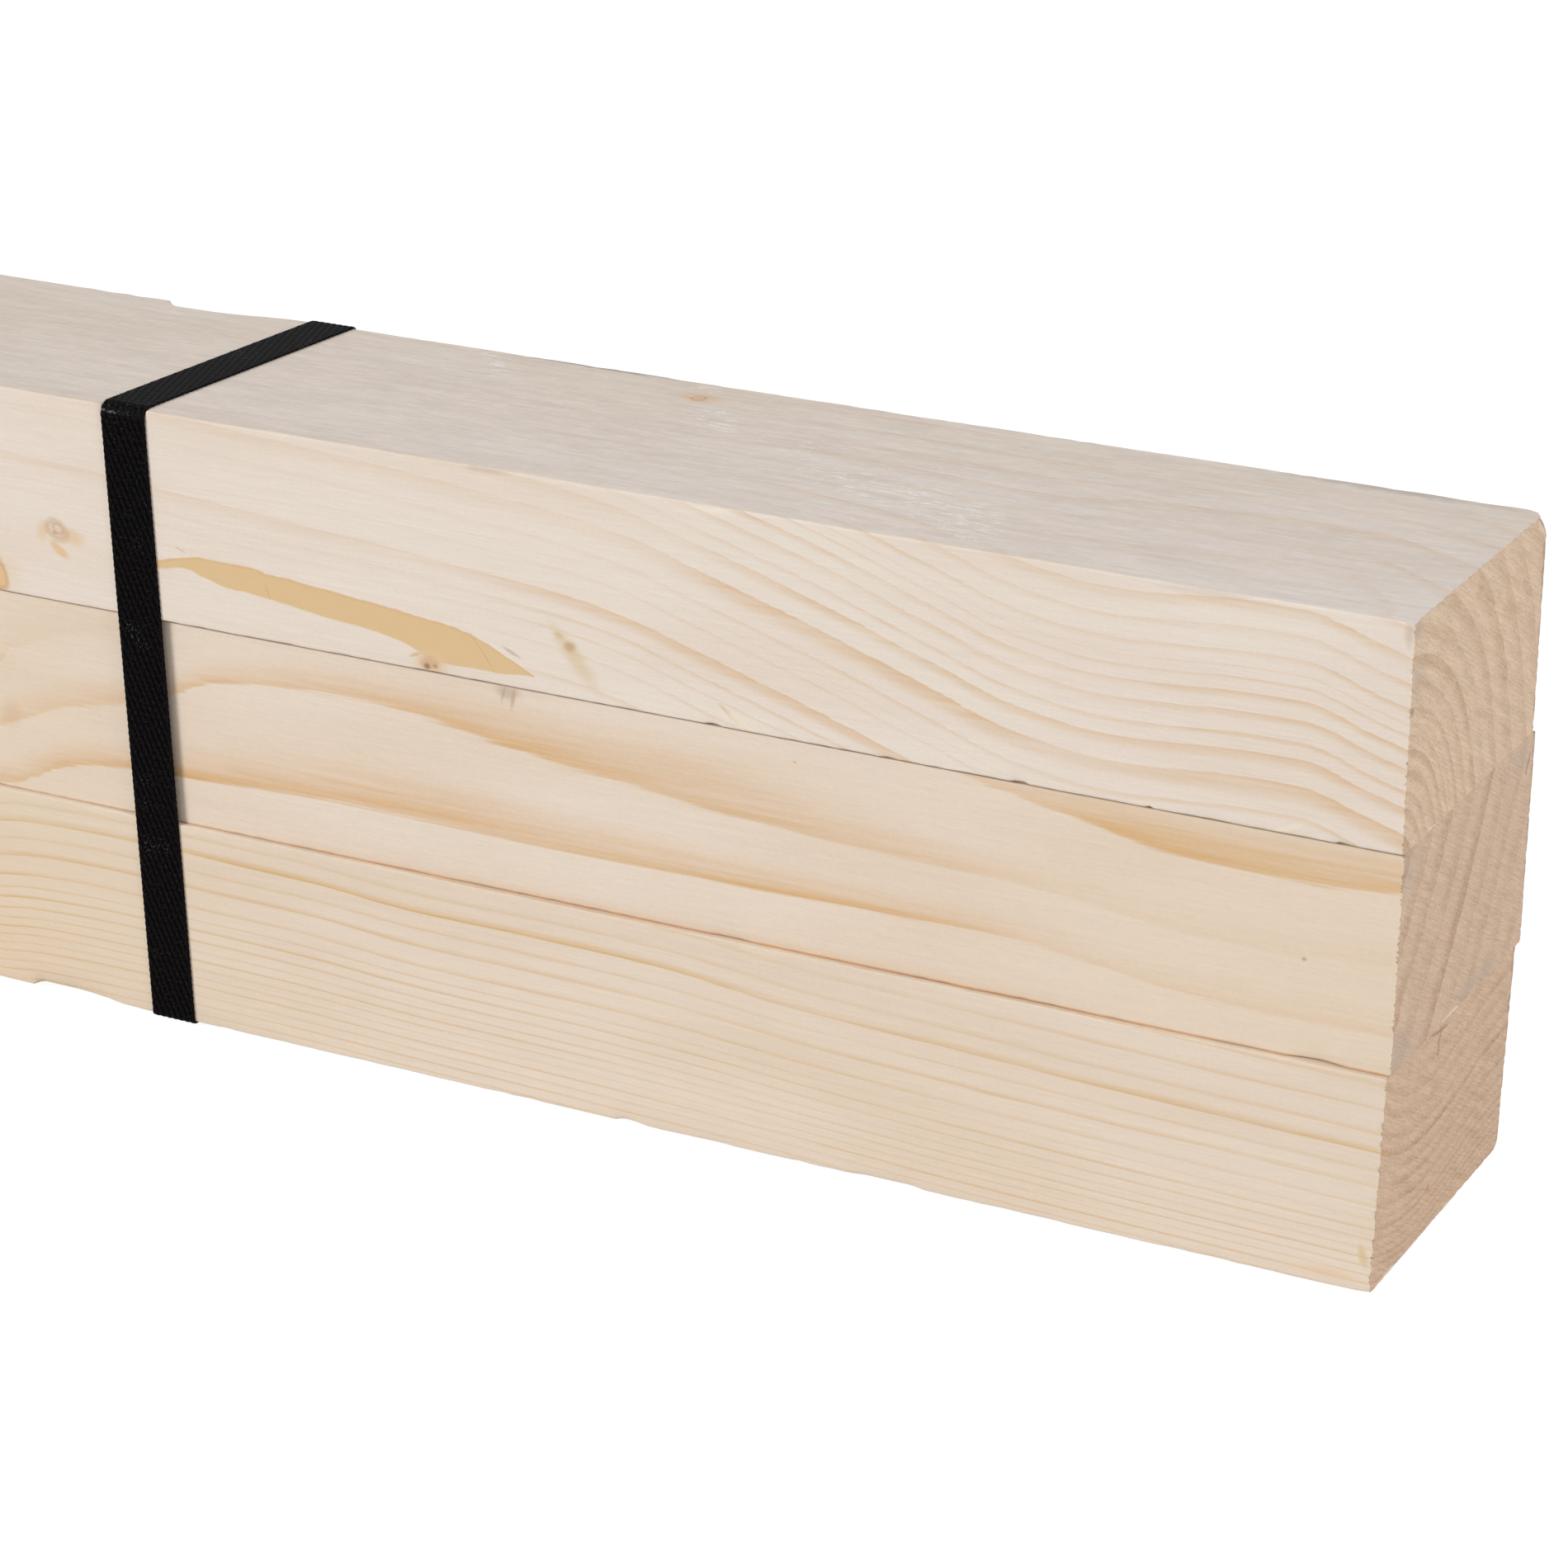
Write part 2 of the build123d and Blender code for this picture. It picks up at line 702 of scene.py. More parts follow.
    def _resin(self, looks: Looks, colour: Wire, rough: Wire) -> tuple[Wire, Wire]:
        """Lay the resin pocket into the front face.

        Args:
            looks: The shared wires.
            colour: The colour so far.
            rough: The roughness so far.

        Returns:
            The new colour and roughness.
        """
        bench, pocket = looks.bench, self.pocket
        edge_raggedness, edge_run, tip_run = 0.7, (-0.15, 0.25), 0.1
        rim_run, rim_share, smoothness = (0.9, 0.1), 0.5, 0.12
        along, _, up = looks.axes
        level = up + looks.ragged * edge_raggedness
        below_top = along.mapped(pocket.upper) - level
        above_base = level - along.mapped(pocket.lower)
        inside = below_top.least(above_base).rise(*edge_run) * looks.faces[Face.FRONT]
        start, end = pocket.upper[0][0], pocket.upper[-1][0]
        inside = inside * along.rise(start - tip_run, start + tip_run)
        inside = inside * along.rise(end + tip_run, end - tip_run)
        filled = bench.mix(below_top.rise(*rim_run) * rim_share, pocket.colour, pocket.rim)
        return bench.mix(inside, colour, filled), rough - inside * smoothness

    def _marked(self, looks: Looks, mark: Mark, colour: Wire) -> Wire:
        """Lay one mark over the colour.

        Args:
            looks: The shared wires.
            mark: The mark.
            colour: The colour so far.

        Returns:
            The new colour.
        """
        bench, noise_span, ring_edges = looks.bench, 2.0, (0.45, 0.85)
        plane = looks.planes[mark.face]
        along, across = (bench.weighed(plane, weights) for weights in mark.weights())
        away = (along * along + across * across).root() + looks.ragged * (mark.ragged * noise_span)
        inside = away.rise(1.0 + mark.softness, 1.0 - mark.softness)
        if mark.kind is MarkKind.RING:
            inside = inside * away.rise(*ring_edges)
        if mark.kind is MarkKind.SCUFF:
            inside = inside * looks.scuffed
        share = inside * looks.marked[mark.face] * mark.strength
        return bench.mix(share, colour, mark.colour)


@dataclass(frozen=True)
class DullStrapping:
    """Black plastic strapping, dull, with pale dust and painted glints, painted shade in the grooves of its
    embossing, and a stressed crease.
    """

    name: str = "black_strapping"
    # The groove colour is painted shade for the embossing's grooves, darker than the ridges.
    groove_shade: Colour = paint(5, 4, 5)
    ridge: Colour = paint(19, 17, 17)
    # The pale colour of the dust, also used for painted glints.
    dust: Colour = paint(120, 118, 122)
    patch_pitch: Pitch = (9.0, 9.0, 7.0)
    speck_pitch: Pitch = (0.5, 0.5, 0.5)
    specular: float = 0.011
    roughness: float = 0.42

    def material(self, middle: float, crease_level: float, front: float) -> bpy.types.Material:
        """Make the material.

        Args:
            middle: Where the strap's middle crosses the front top arris, along the stack.
            crease_level: The height of the crease at that arris.
            front: Where the front faces are.

        Returns:
            A new material with all its nodes.
        """
        made, bench = blank_material(self.name)
        place = bench.place()
        along, across, up = bench.parts(place)
        patch_edges, patch_share, glint_share, dust_edges = (0.58, 0.72), 0.2, 0.06, (0.56, 0.72)
        fold_wander, fold_edges, fold_specks, fold_share = 1.6, (0.34, 0.1), (0.4, 0.58), 0.6
        fold_behind, fold_ahead, fold_side = 1.6, 1.0, (-0.8, -1.8)
        ridge_edges, speck_rough, pale_rough = (0.485, 0.515), 0.12, 0.3
        patch = bench.noise(place, self.patch_pitch, SMOOTH_DETAIL)
        speck = bench.noise(place, self.speck_pitch, SMOOTH_DETAIL)
        # Pale specks: patchy dust, plus painted glints spread everywhere at a low share.
        dust_and_glints = (patch.rise(*patch_edges) * patch_share + glint_share) * speck.rise(*dust_edges)
        fold = abs(up - crease_level + patch.centred() * fold_wander).rise(*fold_edges)
        fold = fold * speck.rise(*fold_specks) * across.rise(front + fold_behind, front + fold_ahead)
        fold = fold * (along - middle).rise(*fold_side)
        pale = dust_and_glints.most(fold * fold_share)
        # Painted shade: pointiness tells grooves from ridges, and the grooves are painted darker.
        point = bench.node("ShaderNodeNewGeometry", None, None, "Pointiness")
        black = bench.mix(point.rise(*ridge_edges), self.groove_shade, self.ridge)
        sockets = {
            "Base Color": bench.mix(pale, black, self.dust),
            "Roughness": speck * speck_rough + pale * pale_rough + self.roughness,
            "Specular IOR Level": self.specular,
        }
        bench.surface(sockets)
        return made


# Meshes


class Wobble:
    """A smooth random line from 0 to 1 along a stretch."""

    def __init__(self, generator: np.random.Generator, start: float, end: float, pitch: float) -> None:
        """Draw its values.

        Args:
            generator: Where the draws come from.
            start: Where the stretch begins.
            end: Where it ends.
            pitch: The length between two draws.
        """
        self.start = start
        self.pitch = pitch
        self.draws = generator.random(int((end - start) / pitch) + 3)

    def __call__(self, at: np.ndarray) -> np.ndarray:
        """Read the line.

        Args:
            at: Places along the stretch.

        Returns:
            The value at each place.
        """
        share = np.clip((at - self.start) / self.pitch, 0, len(self.draws) - 2)
        first = np.minimum(share.astype(int), len(self.draws) - 2)
        blend = smooth(share - first)
        return self.draws[first] * (1 - blend) + self.draws[first + 1] * blend


class Skin:
    """Points, faces and bake-map corners of a mesh that is being put together."""

    def __init__(self) -> None:
        """Start with nothing."""
        self.points: list[np.ndarray] = []
        self.total = 0
        self.faces: list[tuple[int, ...]] = []
        self.corners: list[Span] = []

    def add_points(self, grid: np.ndarray) -> np.ndarray:
        """Add points in millimetres.

        Args:
            grid: The points, with their three parts in the last axis.

        Returns:
            The points' numbers, in the grid's own shape.
        """
        flat = grid.reshape(-1, 3)
        numbers = np.arange(self.total, self.total + len(flat)).reshape(grid.shape[:-1])
        self.points.append(flat)
        self.total += len(flat)
        return numbers

    def add_face(self, numbers: tuple[int, ...], spots: Points) -> None:
        """Add one face and the places of its corners on the bake map."""
        self.faces.append(tuple(int(number) for number in numbers))
        self.corners.extend(spots)

    def piece(self, name: str) -> bpy.types.Object:
        """Make the object.

        Args:
            name: The piece's name.

        Returns:
            The new object, in the scene.
        """
        crease = radians(48.0)
        mesh = bpy.data.meshes.new(name)
        mesh.from_pydata((np.concatenate(self.points) * MM).tolist(), [], self.faces)
        flat = np.asarray(self.corners, dtype=np.float32).ravel()
        mesh.uv_layers.new(name=BAKE_MAP).data.foreach_set("uv", flat)
        mesh.shade_smooth()
        mesh.set_sharp_from_angle(angle=crease)
        mesh.update()
        return put(name, mesh)


class Arris(Enum):
    """The four long edges of a batten, with the way into the wood from each."""

    FRONT_BOTTOM = (1, 1)
    BACK_BOTTOM = (-1, 1)
    BACK_TOP = (-1, -1)
    FRONT_TOP = (1, -1)


@dataclass(frozen=True)
class Chip:
    """A place where an arris is worn or broken away."""

    arris: Arris
    start: float
    end: float
    depth: float
    run_in: float = 0.8
    run_out: float = 0.8
    reach: float = 2.5

    def cut(self, along: np.ndarray) -> np.ndarray:
        """Work out how deep the chip is along the batten.

        Args:
            along: Places along the batten.

        Returns:
            The depth at each place.
        """
        rising = np.clip((along - self.start) / self.run_in, 0, 1)
        falling = np.clip((self.end - along) / self.run_out, 0, 1)
        return self.depth * smooth(np.minimum(rising, falling))


@dataclass(frozen=True)
class Outline:
    """A closed section, point by point, with each stretch's place on the bake map's four strips."""

    spots: np.ndarray
    strip: np.ndarray
    begin: np.ndarray
    end: np.ndarray

    def refined(self, pitches: tuple[float, ...]) -> tuple["Outline", np.ndarray]:
        """Divide the longer stretches.

        Args:
            pitches: The longest stretch to leave on each strip.

        Returns:
            The finer outline, and the number of its first point in each stretch of this one.
        """
        spots, strips, begins, ends, firsts = [], [], [], [], []
        for index, spot in enumerate(self.spots):
            following = self.spots[(index + 1) % len(self.spots)]
            count = max(1, ceil(float(np.hypot(*(following - spot))) / pitches[self.strip[index]]))
            firsts.append(len(spots))
            stretch = self.end[index] - self.begin[index]
            for part in range(count):
                spots.append(spot + (following - spot) * (part / count))
                strips.append(self.strip[index])
                begins.append(self.begin[index] + stretch * part / count)
                ends.append(self.begin[index] + stretch * (part + 1) / count)
        finer = Outline(np.array(spots), np.array(strips), np.array(begins), np.array(ends))
        return finer, np.array([*firsts, len(spots)])


@dataclass
class Batten:
    """One planed batten with its sawn ends and worn arrises."""

    name: str
    node: str
    underside: float
    finish: PlanedWood
    seed: int
    setback: float = 0.0
    step: float = 0.0
    chips: tuple[Chip, ...] = ()
    front: float = -34.5
    width: float = 69.0
    height: float = 44.0
    length: float = 2100.0
    arrises: tuple[float, ...] = (0.4, 0.8, 0.8, 0.4)
    slant: float = 0.0
    splay: float = 0.0
    worn_corner: float = 0.0
    swell: float = 1.1
    swell_run: float = 270.0
    fine_pitches: tuple[float, ...] = (0.9, 0.9, 0.5, 0.4)
    tip: tuple[float, ...] = (0.0, 1.3, 2.2, 3.5, 5.5, 8.5, 12.0)
    crushed: Span = (-788.0, -768.0)
    shown_from: float = 722.0
    shown_pitch: float = 1.0
    plain_pitch: float = 6.0
    cap_rings: int = 30
    wear_pitches: tuple[float, ...] = (9.0, 2.3)
    wear_depth: float = 0.3
    wear_reach: float = 1.6
    wear_power: float = 1.5
    rim_depths: tuple[float, ...] = (0.15, 0.15, 0.5, 0.55)
    rim_power: int = 3
    saw_depth: float = 0.2
    wear: dict[Arris, list[Wobble]] = field(init=False, default_factory=dict)

    @property
    def ends(self) -> Span:
        """Give the places of the left and the right end."""
        return self.step - self.length / 2, self.step + self.length / 2

    def build(self) -> bpy.types.Object:
        """Build and dress the batten.

        Returns:
            The piece.
        """
        generator = np.random.default_rng(self.seed)
        left, right = self.ends
        for arris in Arris:
            self.wear[arris] = [Wobble(generator, left, right, pitch) for pitch in self.wear_pitches]
        coarse = self._outline()
        fine, firsts = coarse.refined(self.fine_pitches)
        tip = np.array(self.tip)
        first, last = left + tip[-1] + self.plain_pitch, right - tip[-1] - self.shown_pitch / 2
        body = np.concatenate([
            np.arange(first, self.crushed[0], self.plain_pitch),
            np.arange(*self.crushed, self.shown_pitch),
            np.arange(self.crushed[1], self.shown_from, self.plain_pitch),
            np.arange(self.shown_from, last, self.shown_pitch),
        ])
        skin = Skin()
        left_rows = self._rows(skin, left + tip, fine, generator)
        body_rows = self._rows(skin, body, coarse, generator)
        right_rows = self._rows(skin, right - tip[::-1], fine, generator)
        self._sleeve(skin, left_rows, left + tip, fine)
        self._sleeve(skin, body_rows, body, coarse)
        self._sleeve(skin, right_rows, right - tip[::-1], fine)
        self._join(skin, left_rows[-1], left + tip[-1], body_rows[0], body[0], fine, firsts)
        self._join(skin, right_rows[0], right - tip[-1], body_rows[-1], body[-1], fine, firsts)
        self._cap(skin, left_rows[0], fine, generator, -1)
        self._cap(skin, right_rows[-1], fine, generator, 1)
        piece = skin.piece(self.name)
        piece.data.materials.append(self.finish.material())
        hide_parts(self.node)
        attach(piece, BODY)
        return piece

    def _corner(self, arris: Arris) -> Span:
        """Give the place where two faces would meet without the rounding.

        Args:
            arris: The arris between them.

        Returns:
            The place across and up.
        """
        inward = arris.value
        across = self.front + self.setback + self.width * (1 - inward[0]) / 2
        up = self.underside + self.height / 2 - inward[1] * self.height / 2
        return across, up

    def _outline(self) -> Outline:
        """Go round the section, from the middle of the front bottom arris.

        Returns:
            The outline with few points on its flats.
        """
        margins = (0.5, 1.2, 2.5, 6.0)
        quarter, arc_steps = pi / 2, 3
        first_turn = -3 * pi / 4
        corners = list(Arris)
        spots, strips, begins, ends = [], [], [], []
        for strip, arris in enumerate(corners):
            following = corners[(strip + 1) % len(corners)]
            turn = first_turn + strip * quarter
            leaving = self._arc(arris, turn, turn + quarter / 2, arc_steps)
            coming = self._arc(following, turn + quarter / 2, turn + quarter, arc_steps)
            run = coming[0] - leaving[-1]
            reach = float(np.hypot(*run))
            stops = [*margins, reach / 2, *(reach - margin for margin in margins[::-1])]
            flat = [leaving[-1] + run * (stop / reach) for stop in stops]
            side = np.array([*leaving, *flat, *coming])
            lengths = np.concatenate([[0.0], np.cumsum(np.hypot(*np.diff(side, axis=0).T))])
            spots.extend(side[:-1])
            strips.extend([strip] * (len(side) - 1))
            begins.extend(lengths[:-1])
            ends.extend(lengths[1:])
        return Outline(np.array(spots), np.array(strips), np.array(begins), np.array(ends))

    def _arc(self, arris: Arris, start: float, end: float, steps: int) -> list[np.ndarray]:
        """Give points on the rounding of an arris.

        Args:
            arris: The arris.
            start: The angle of the first point.
            end: The angle of the last point.
            steps: How many stretches lie between them.

        Returns:
            The points.
        """
        inward = arris.value
        radius = self.arrises[list(Arris).index(arris)]
        corner = self._corner(arris)
        middle = (corner[0] + inward[0] * radius, corner[1] + inward[1] * radius)
        turns = np.linspace(start, end, steps + 1)
        return [np.array([middle[0] + radius * cos(t), middle[1] + radius * sin(t)]) for t in turns]

    def _rows(
        self, skin: Skin, along: np.ndarray, outline: Outline, generator: np.random.Generator
    ) -> np.ndarray:
        """Add the section's points at each place along the batten, with worn arrises.

        Args:
            skin: The mesh.
            along: The places.
            outline: The section.
            generator: Where the draws for the torn rim come from.

        Returns:
            The points' numbers, a row for each place.
        """
        grid = np.empty((len(along), len(outline.spots), 3))
        grid[..., 0] = along[:, None]
        grid[..., 1:] = outline.spots[None]
        for arris in Arris:
            away = np.hypot(*(outline.spots - np.array(self._corner(arris))).T)
            inward = np.array(arris.value) / hypot(*arris.value)
            broad, small = (wobble(along) for wobble in self.wear[arris])
            cuts = [(self.wear_depth * broad * small, self.wear_reach)]
            cuts += [(chip.cut(along), chip.reach) for chip in self.chips if chip.arris is arris]
            for depth, reach in cuts:
                near = np.clip(1 - away / reach, 0, 1) ** self.wear_power
                grid[..., 1:] += (depth[:, None] * near[None])[..., None] * inward
        for row, place in enumerate(along):
            if place in self.ends:
                torn = generator.random(len(outline.spots)) ** self.rim_power
                grid[row, :, 0] -= np.sign(place) * torn * np.array(self.rim_depths)[outline.strip]
        near_end = np.clip(1 - (self.ends[1] - along) / self.tip[-1], 0, 1)
        grid[..., 0] -= near_end[:, None] * self._cut_back(grid[..., 1], grid[..., 2])
        grid[..., 1] += self._swollen(along[:, None], grid[..., 1])
        return skin.add_points(grid)

    def _swollen(self, along: np.ndarray, across: np.ndarray) -> np.ndarray:
        """Work out how far the wood has swollen backwards near the right end.

        Args:
            along: Places along the batten.
            across: Places across it.

        Returns:
            The shift at each place.
        """
        share = np.clip(1 - (self.ends[1] - along) / self.swell_run, 0, 1)
        return self.swell * share * share * (across - self.front - self.setback) / self.width

    def _cut_back(self, across: np.ndarray, level: np.ndarray) -> np.ndarray:
        """Work out how far the right end, sawn out of square and worn at one corner, is cut back.

        Args:
            across: Places across the batten.
            level: Their heights.

        Returns:
            The depth at each place, below zero where the end stands out.
        """
        below = self.underside + self.height - level
        behind = across - self.setback - self.front
        cut = self.slant * below / self.height - self.splay * behind / self.width
        if self.worn_corner:
            rounded = (sqrt(2) - 1) * self.arrises[list(Arris).index(Arris.BACK_TOP)]
            away = np.hypot(self.width - behind, below) - rounded
            share = np.clip(away / self.worn_corner, 0, 1)
            cut = cut + self.worn_corner * (1 - np.sqrt(1 - (1 - share) ** 2))
        return cut

    def _map_along(self, place: float) -> float:
        """Give the bake map's place along its strips, with more room for the shown end.

        Args:
            place: A place along the batten.

        Returns:
            Its place on the map.
        """
        margin, plain_share = 0.008, 0.56
        left, right = self.ends
        room = 1 - 2 * margin
        if place < self.shown_from:
            return margin + room * plain_share * (place - left) / (self.shown_from - left)
        share = (place - self.shown_from) / (right - self.shown_from)
        return margin + room * (plain_share + (1 - plain_share) * share)

    def _map_across(self, strip: int, reach: float) -> float:
        """Give the bake map's place across its strips.

        Args:
            strip: The number of the strip.
            reach: How far across that strip.

        Returns:
            The place on the map.
        """
        margin, scale = 0.012, 0.0026
        below = sum(self.width if index % 2 == 0 else self.height for index in range(strip))
        return margin * (strip + 1) + scale * (below + reach)

    def _sleeve(self, skin: Skin, rows: np.ndarray, along: np.ndarray, outline: Outline) -> None:
        """Close the side faces between rows of points.

        Args:
            skin: The mesh.
            rows: The points' numbers, a row for each place.
            along: The places along the batten.
            outline: The section.
        """
        count = rows.shape[1]
        begins = [self._map_across(s, b) for s, b in zip(outline.strip, outline.begin)]
        ends = [self._map_across(s, e) for s, e in zip(outline.strip, outline.end)]
        maps = [self._map_along(place) for place in along]
        for row in range(len(rows) - 1):
            near, far = rows[row], rows[row + 1]
            here, there = maps[row], maps[row + 1]
            for index in range(count):
                following = (index + 1) % count
                begin, end = begins[index], ends[index]
                skin.add_face(
                    (near[index], near[following], far[following], far[index]),
                    ((here, begin), (here, end), (there, end), (there, begin)),
                )

    def _join(
        self,
        skin: Skin,
        fine_row: np.ndarray,
        fine_place: float,
        coarse_row: np.ndarray,
        coarse_place: float,
        fine: Outline,
        firsts: np.ndarray,
    ) -> None:
        """Close the faces between a row of many points and a row of few.

        Args:
            skin: The mesh.
            fine_row: The row of many points.
            fine_place: Where it is along the batten.
            coarse_row: The row of few points.
            coarse_place: Where it is along the batten.
            fine: The outline of many points.
            firsts: The number of the first fine point in each coarse stretch.
        """
        near, far = self._map_along(fine_place), self._map_along(coarse_place)
        forward = coarse_place > fine_place
        for index in range(len(coarse_row)):
            parts = range(firsts[index], firsts[index + 1])
            pivot, other = coarse_row[index], coarse_row[(index + 1) % len(coarse_row)]
            strip = fine.strip[parts[0]]
            low = self._map_across(strip, fine.begin[parts[0]])
            high = self._map_across(strip, fine.end[parts[-1]])
            for part in parts:
                first, second = fine_row[part], fine_row[(part + 1) % len(fine_row)]
                begin = self._map_across(strip, fine.begin[part])
                end = self._map_across(strip, fine.end[part])
                corners = [(first, (near, begin)), (second, (near, end)), (pivot, (far, low))]
                self._turned(skin, corners, forward)
            last = fine_row[firsts[index + 1] % len(fine_row)]
            corners = [(last, (near, high)), (other, (far, high)), (pivot, (far, low))]
            self._turned(skin, corners, forward)

    def _turned(self, skin: Skin, corners: list[tuple[int, Span]], forward: bool) -> None:
        """Add a face, turned over where its row order runs the other way."""
        ordered = corners if forward else corners[::-1]
        skin.add_face(tuple(corner[0] for corner in ordered), tuple(corner[1] for corner in ordered))

    def _cap(
        self, skin: Skin, rim: np.ndarray, outline: Outline, generator: np.random.Generator, side: int
    ) -> None:
        """Close an end with a rough sawn face.

        Args:
            skin: The mesh.
            rim: The points round the end.
            outline: The section.
            generator: Where the draws for the roughness come from.
            side: 1 for the right end, -1 for the left.
        """
        last_share, ring_power, calm_share = 0.94, 1.4, 0.15
        turn, stroke_pitch, stroke_run = radians(62.0), 1.7, 7.0
        level, swing, stroke_middle = 0.8, 2.0, 0.25
        place = self.ends[0] if side < 0 else self.ends[1]
        middle = np.array([self.front + self.setback + self.width / 2, self.underside + self.height / 2])
        half_spine = (self.width - self.height) / 2
        spine = np.zeros((len(rim), 2))
        spine[:, 0] = np.clip(outline.spots[:, 0] - middle[0], -half_spine, half_spine)
        shares = last_share * np.linspace(0, 1, self.cap_rings + 1)[1:] ** ring_power
        grid = np.empty((len(shares), len(rim), 3))
        grid[..., 1:] = outline.spots + (spine + middle - outline.spots) * shares[:, None, None]
        spots = np.concatenate([outline.spots[None], grid[..., 1:]])
        reach = self.width + self.height
        beside, above = grid[..., 1] - middle[0], grid[..., 2] - middle[1]
        stroke = Wobble(generator, -reach, reach, stroke_pitch)(beside * cos(turn) + above * sin(turn))
        run = Wobble(generator, -reach, reach, stroke_run)(above * cos(turn) - beside * sin(turn))
        calm = np.clip((last_share - shares) / calm_share, 0, 1)[:, None]
        cut = level + swing * (stroke * run - stroke_middle) * calm
        grid[..., 0] = place - side * self.saw_depth * cut
        if side > 0:
            grid[..., 0] -= self._cut_back(grid[..., 1], grid[..., 2])
            grid[..., 1] += self._swollen(np.array(place), grid[..., 1])
        rows = np.concatenate([rim[None], skin.add_points(grid)])
        maps = self._cap_map(spots - middle, side)
        count = len(rim)
        for row in range(len(rows) - 1):
            for index in range(count):
                following = (index + 1) % count
                corners = [
                    (rows[r, i], tuple(maps[r, i]))
                    for r, i in ((row, index), (row, following), (row + 1, following), (row + 1, index))
                ]
                self._turned(skin, corners, side > 0)
        corners = [(number, tuple(spot)) for number, spot in zip(rows[-1], maps[-1])]
        self._turned(skin, corners, side > 0)

    def _cap_map(self, offsets: np.ndarray, side: int) -> np.ndarray:
        """Give an end's places on the bake map, beside each other above the strips."""
        middle, shift, level, scale = 0.5, 0.25, 0.83, 0.0066
        return np.array([middle + side * shift, level]) + offsets * scale


@dataclass
class Strap:
    """A flat strap pulled taut round the stack, its ends lapped and welded on the back run."""

    name: str
    node: str
    side: int
    finish: DullStrapping
    place: float = 778.2
    lean: float = 2.45
    skew: float = 4.95
    width: float = 10.26
    thickness: float = 0.6
    lap: Span = (49.6, 83.6)
    columns: int = 40
    pitch: float = 0.3
    emboss: float = 0.15
    ridge_pitch: float = 1.46
    ridge_run: float = 3.7
    row_pitch: float = 1.5
    edge_saw: float = 0.05
    bevel: float = 0.15
    clearance: float = 0.02
    crease_drop: float = 1.0
    stack: Span = (0.6, 132.6)
    middle_levels: Span = (44.6, 88.6)
    front: float = -34.5
    back: float = 34.5
    setback: float = 1.2
    front_arris: float = 0.4
    front_bend: float = 2.1
    back_arrises: tuple[float, ...] = (2.2, 0.8, 0.8, 0.5)

    def build(self) -> bpy.types.Object:
        """Build and dress the strap.

        Returns:
            The piece.
        """
        path, normals, run = self._path()
        inner, outer = self._levels(path, run)
        half = self.width / 2
        across = np.linspace(-half + self.bevel, half - self.bevel, self.columns)
        saw = self.edge_saw * np.sin(run * (2 * pi / self.row_pitch))
        left, right, rim = -half - saw, half + saw, outer - self.bevel
        offsets = [left, *(np.full_like(run, u) for u in across), right, right, left]
        heights = [rim, *(outer - self._relief(u, path, run) for u in across), rim, inner, inner]
        drift = tan(radians(self.skew)) * (path[:, 0] - self.front)
        drift = drift + tan(radians(self.lean)) * (self.stack[1] - path[:, 1])
        grid = np.empty((len(run), len(offsets), 3))
        for column, (offset, height) in enumerate(zip(offsets, heights)):
            grid[:, column, 0] = self.side * (self.place + drift) + offset
            grid[:, column, 1:] = path + normals * height[:, None]
        skin = Skin()
        self._close(skin, skin.add_points(grid), run)
        piece = skin.piece(self.name)
        crease = self.stack[1] - self.crease_drop
        piece.data.materials.append(self.finish.material(self.side * self.place, crease, self.front))
        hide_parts(self.node)
        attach(piece, BODY)
        return piece

    def _bearings(self) -> list[tuple[np.ndarray, float]]:
        """List the arrises that the strap goes round, anticlockwise seen from the right end.

        Returns:
            The middle and the radius of each rounding.
        """
        low, high = self.stack
        front = self.front + self.front_arris
        mid_low, mid_high = self.middle_levels
        under, mid_under, mid_over, over = self.back_arrises
        back, mid_back = self.back, self.back + self.setback
        return [
            (np.array([front, low + self.front_arris]), self.front_arris),
            (np.array([back - under, low + under]), under),
            (np.array([mid_back - mid_under, mid_low + mid_under]), mid_under),
            (np.array([mid_back - mid_over, mid_high - mid_over]), mid_over),
            (np.array([back - over, high - over]), over),
            (np.array([self.front + self.front_bend, high - self.front_bend]), self.front_bend),
        ]

    def _path(self) -> tuple[np.ndarray, np.ndarray, np.ndarray]:
        """Follow the shortest loop round the stack.

        Returns:
            Its points, the way out of the stack at each, and the length run so far.
        """
        bearings = self._bearings()
        turns = []
        for (start, radius), (end, next_radius) in zip(bearings, bearings[1:] + bearings[:1]):
            step = end - start
            turns.append(atan2(step[1], step[0]) - acos((radius - next_radius) / hypot(*step)))
        points, outward = [], []
        for index, (middle, radius) in enumerate(bearings):
            begin, finish = turns[index - 1], turns[index]
            while finish < begin:
                finish += 2 * pi
            arc_steps = max(2, ceil((finish - begin) * (radius + self.thickness) / self.pitch))
            for turn in np.linspace(begin, finish, arc_steps + 1):
                way = np.array([cos(turn), sin(turn)])
                points.append(middle + radius * way)
                outward.append(way)
            following, next_radius = bearings[(index + 1) % len(bearings)]
            way = np.array([cos(turns[index]), sin(turns[index])])
            start, end = middle + radius * way, following + next_radius * way
            steps = ceil(float(np.hypot(*(end - start))) / self.pitch)
            for share in np.linspace(0, 1, steps + 1)[1:-1]:
                points.append(start + (end - start) * share)
                outward.append(way)
        path = np.array(points)
        steps = np.hypot(*np.diff(path, axis=0, append=path[:1]).T)
        return path, np.array(outward), np.concatenate([[0.0], np.cumsum(steps)[:-1]])

    def _levels(self, path: np.ndarray, run: np.ndarray) -> tuple[np.ndarray, np.ndarray]:
        """Give the strap's inner and outer level over the stack along the loop.

        Args:
            path: The loop's points.
            run: The length run so far at each.

        Returns:
            The two levels.
        """
        low, high = self.lap
        lapped = (path[:, 0] > self.back) & (path[:, 1] > low) & (path[:, 1] < high)
        inner = np.full_like(run, self.clearance)
        return inner, np.where(lapped, 2 * self.thickness, self.thickness)

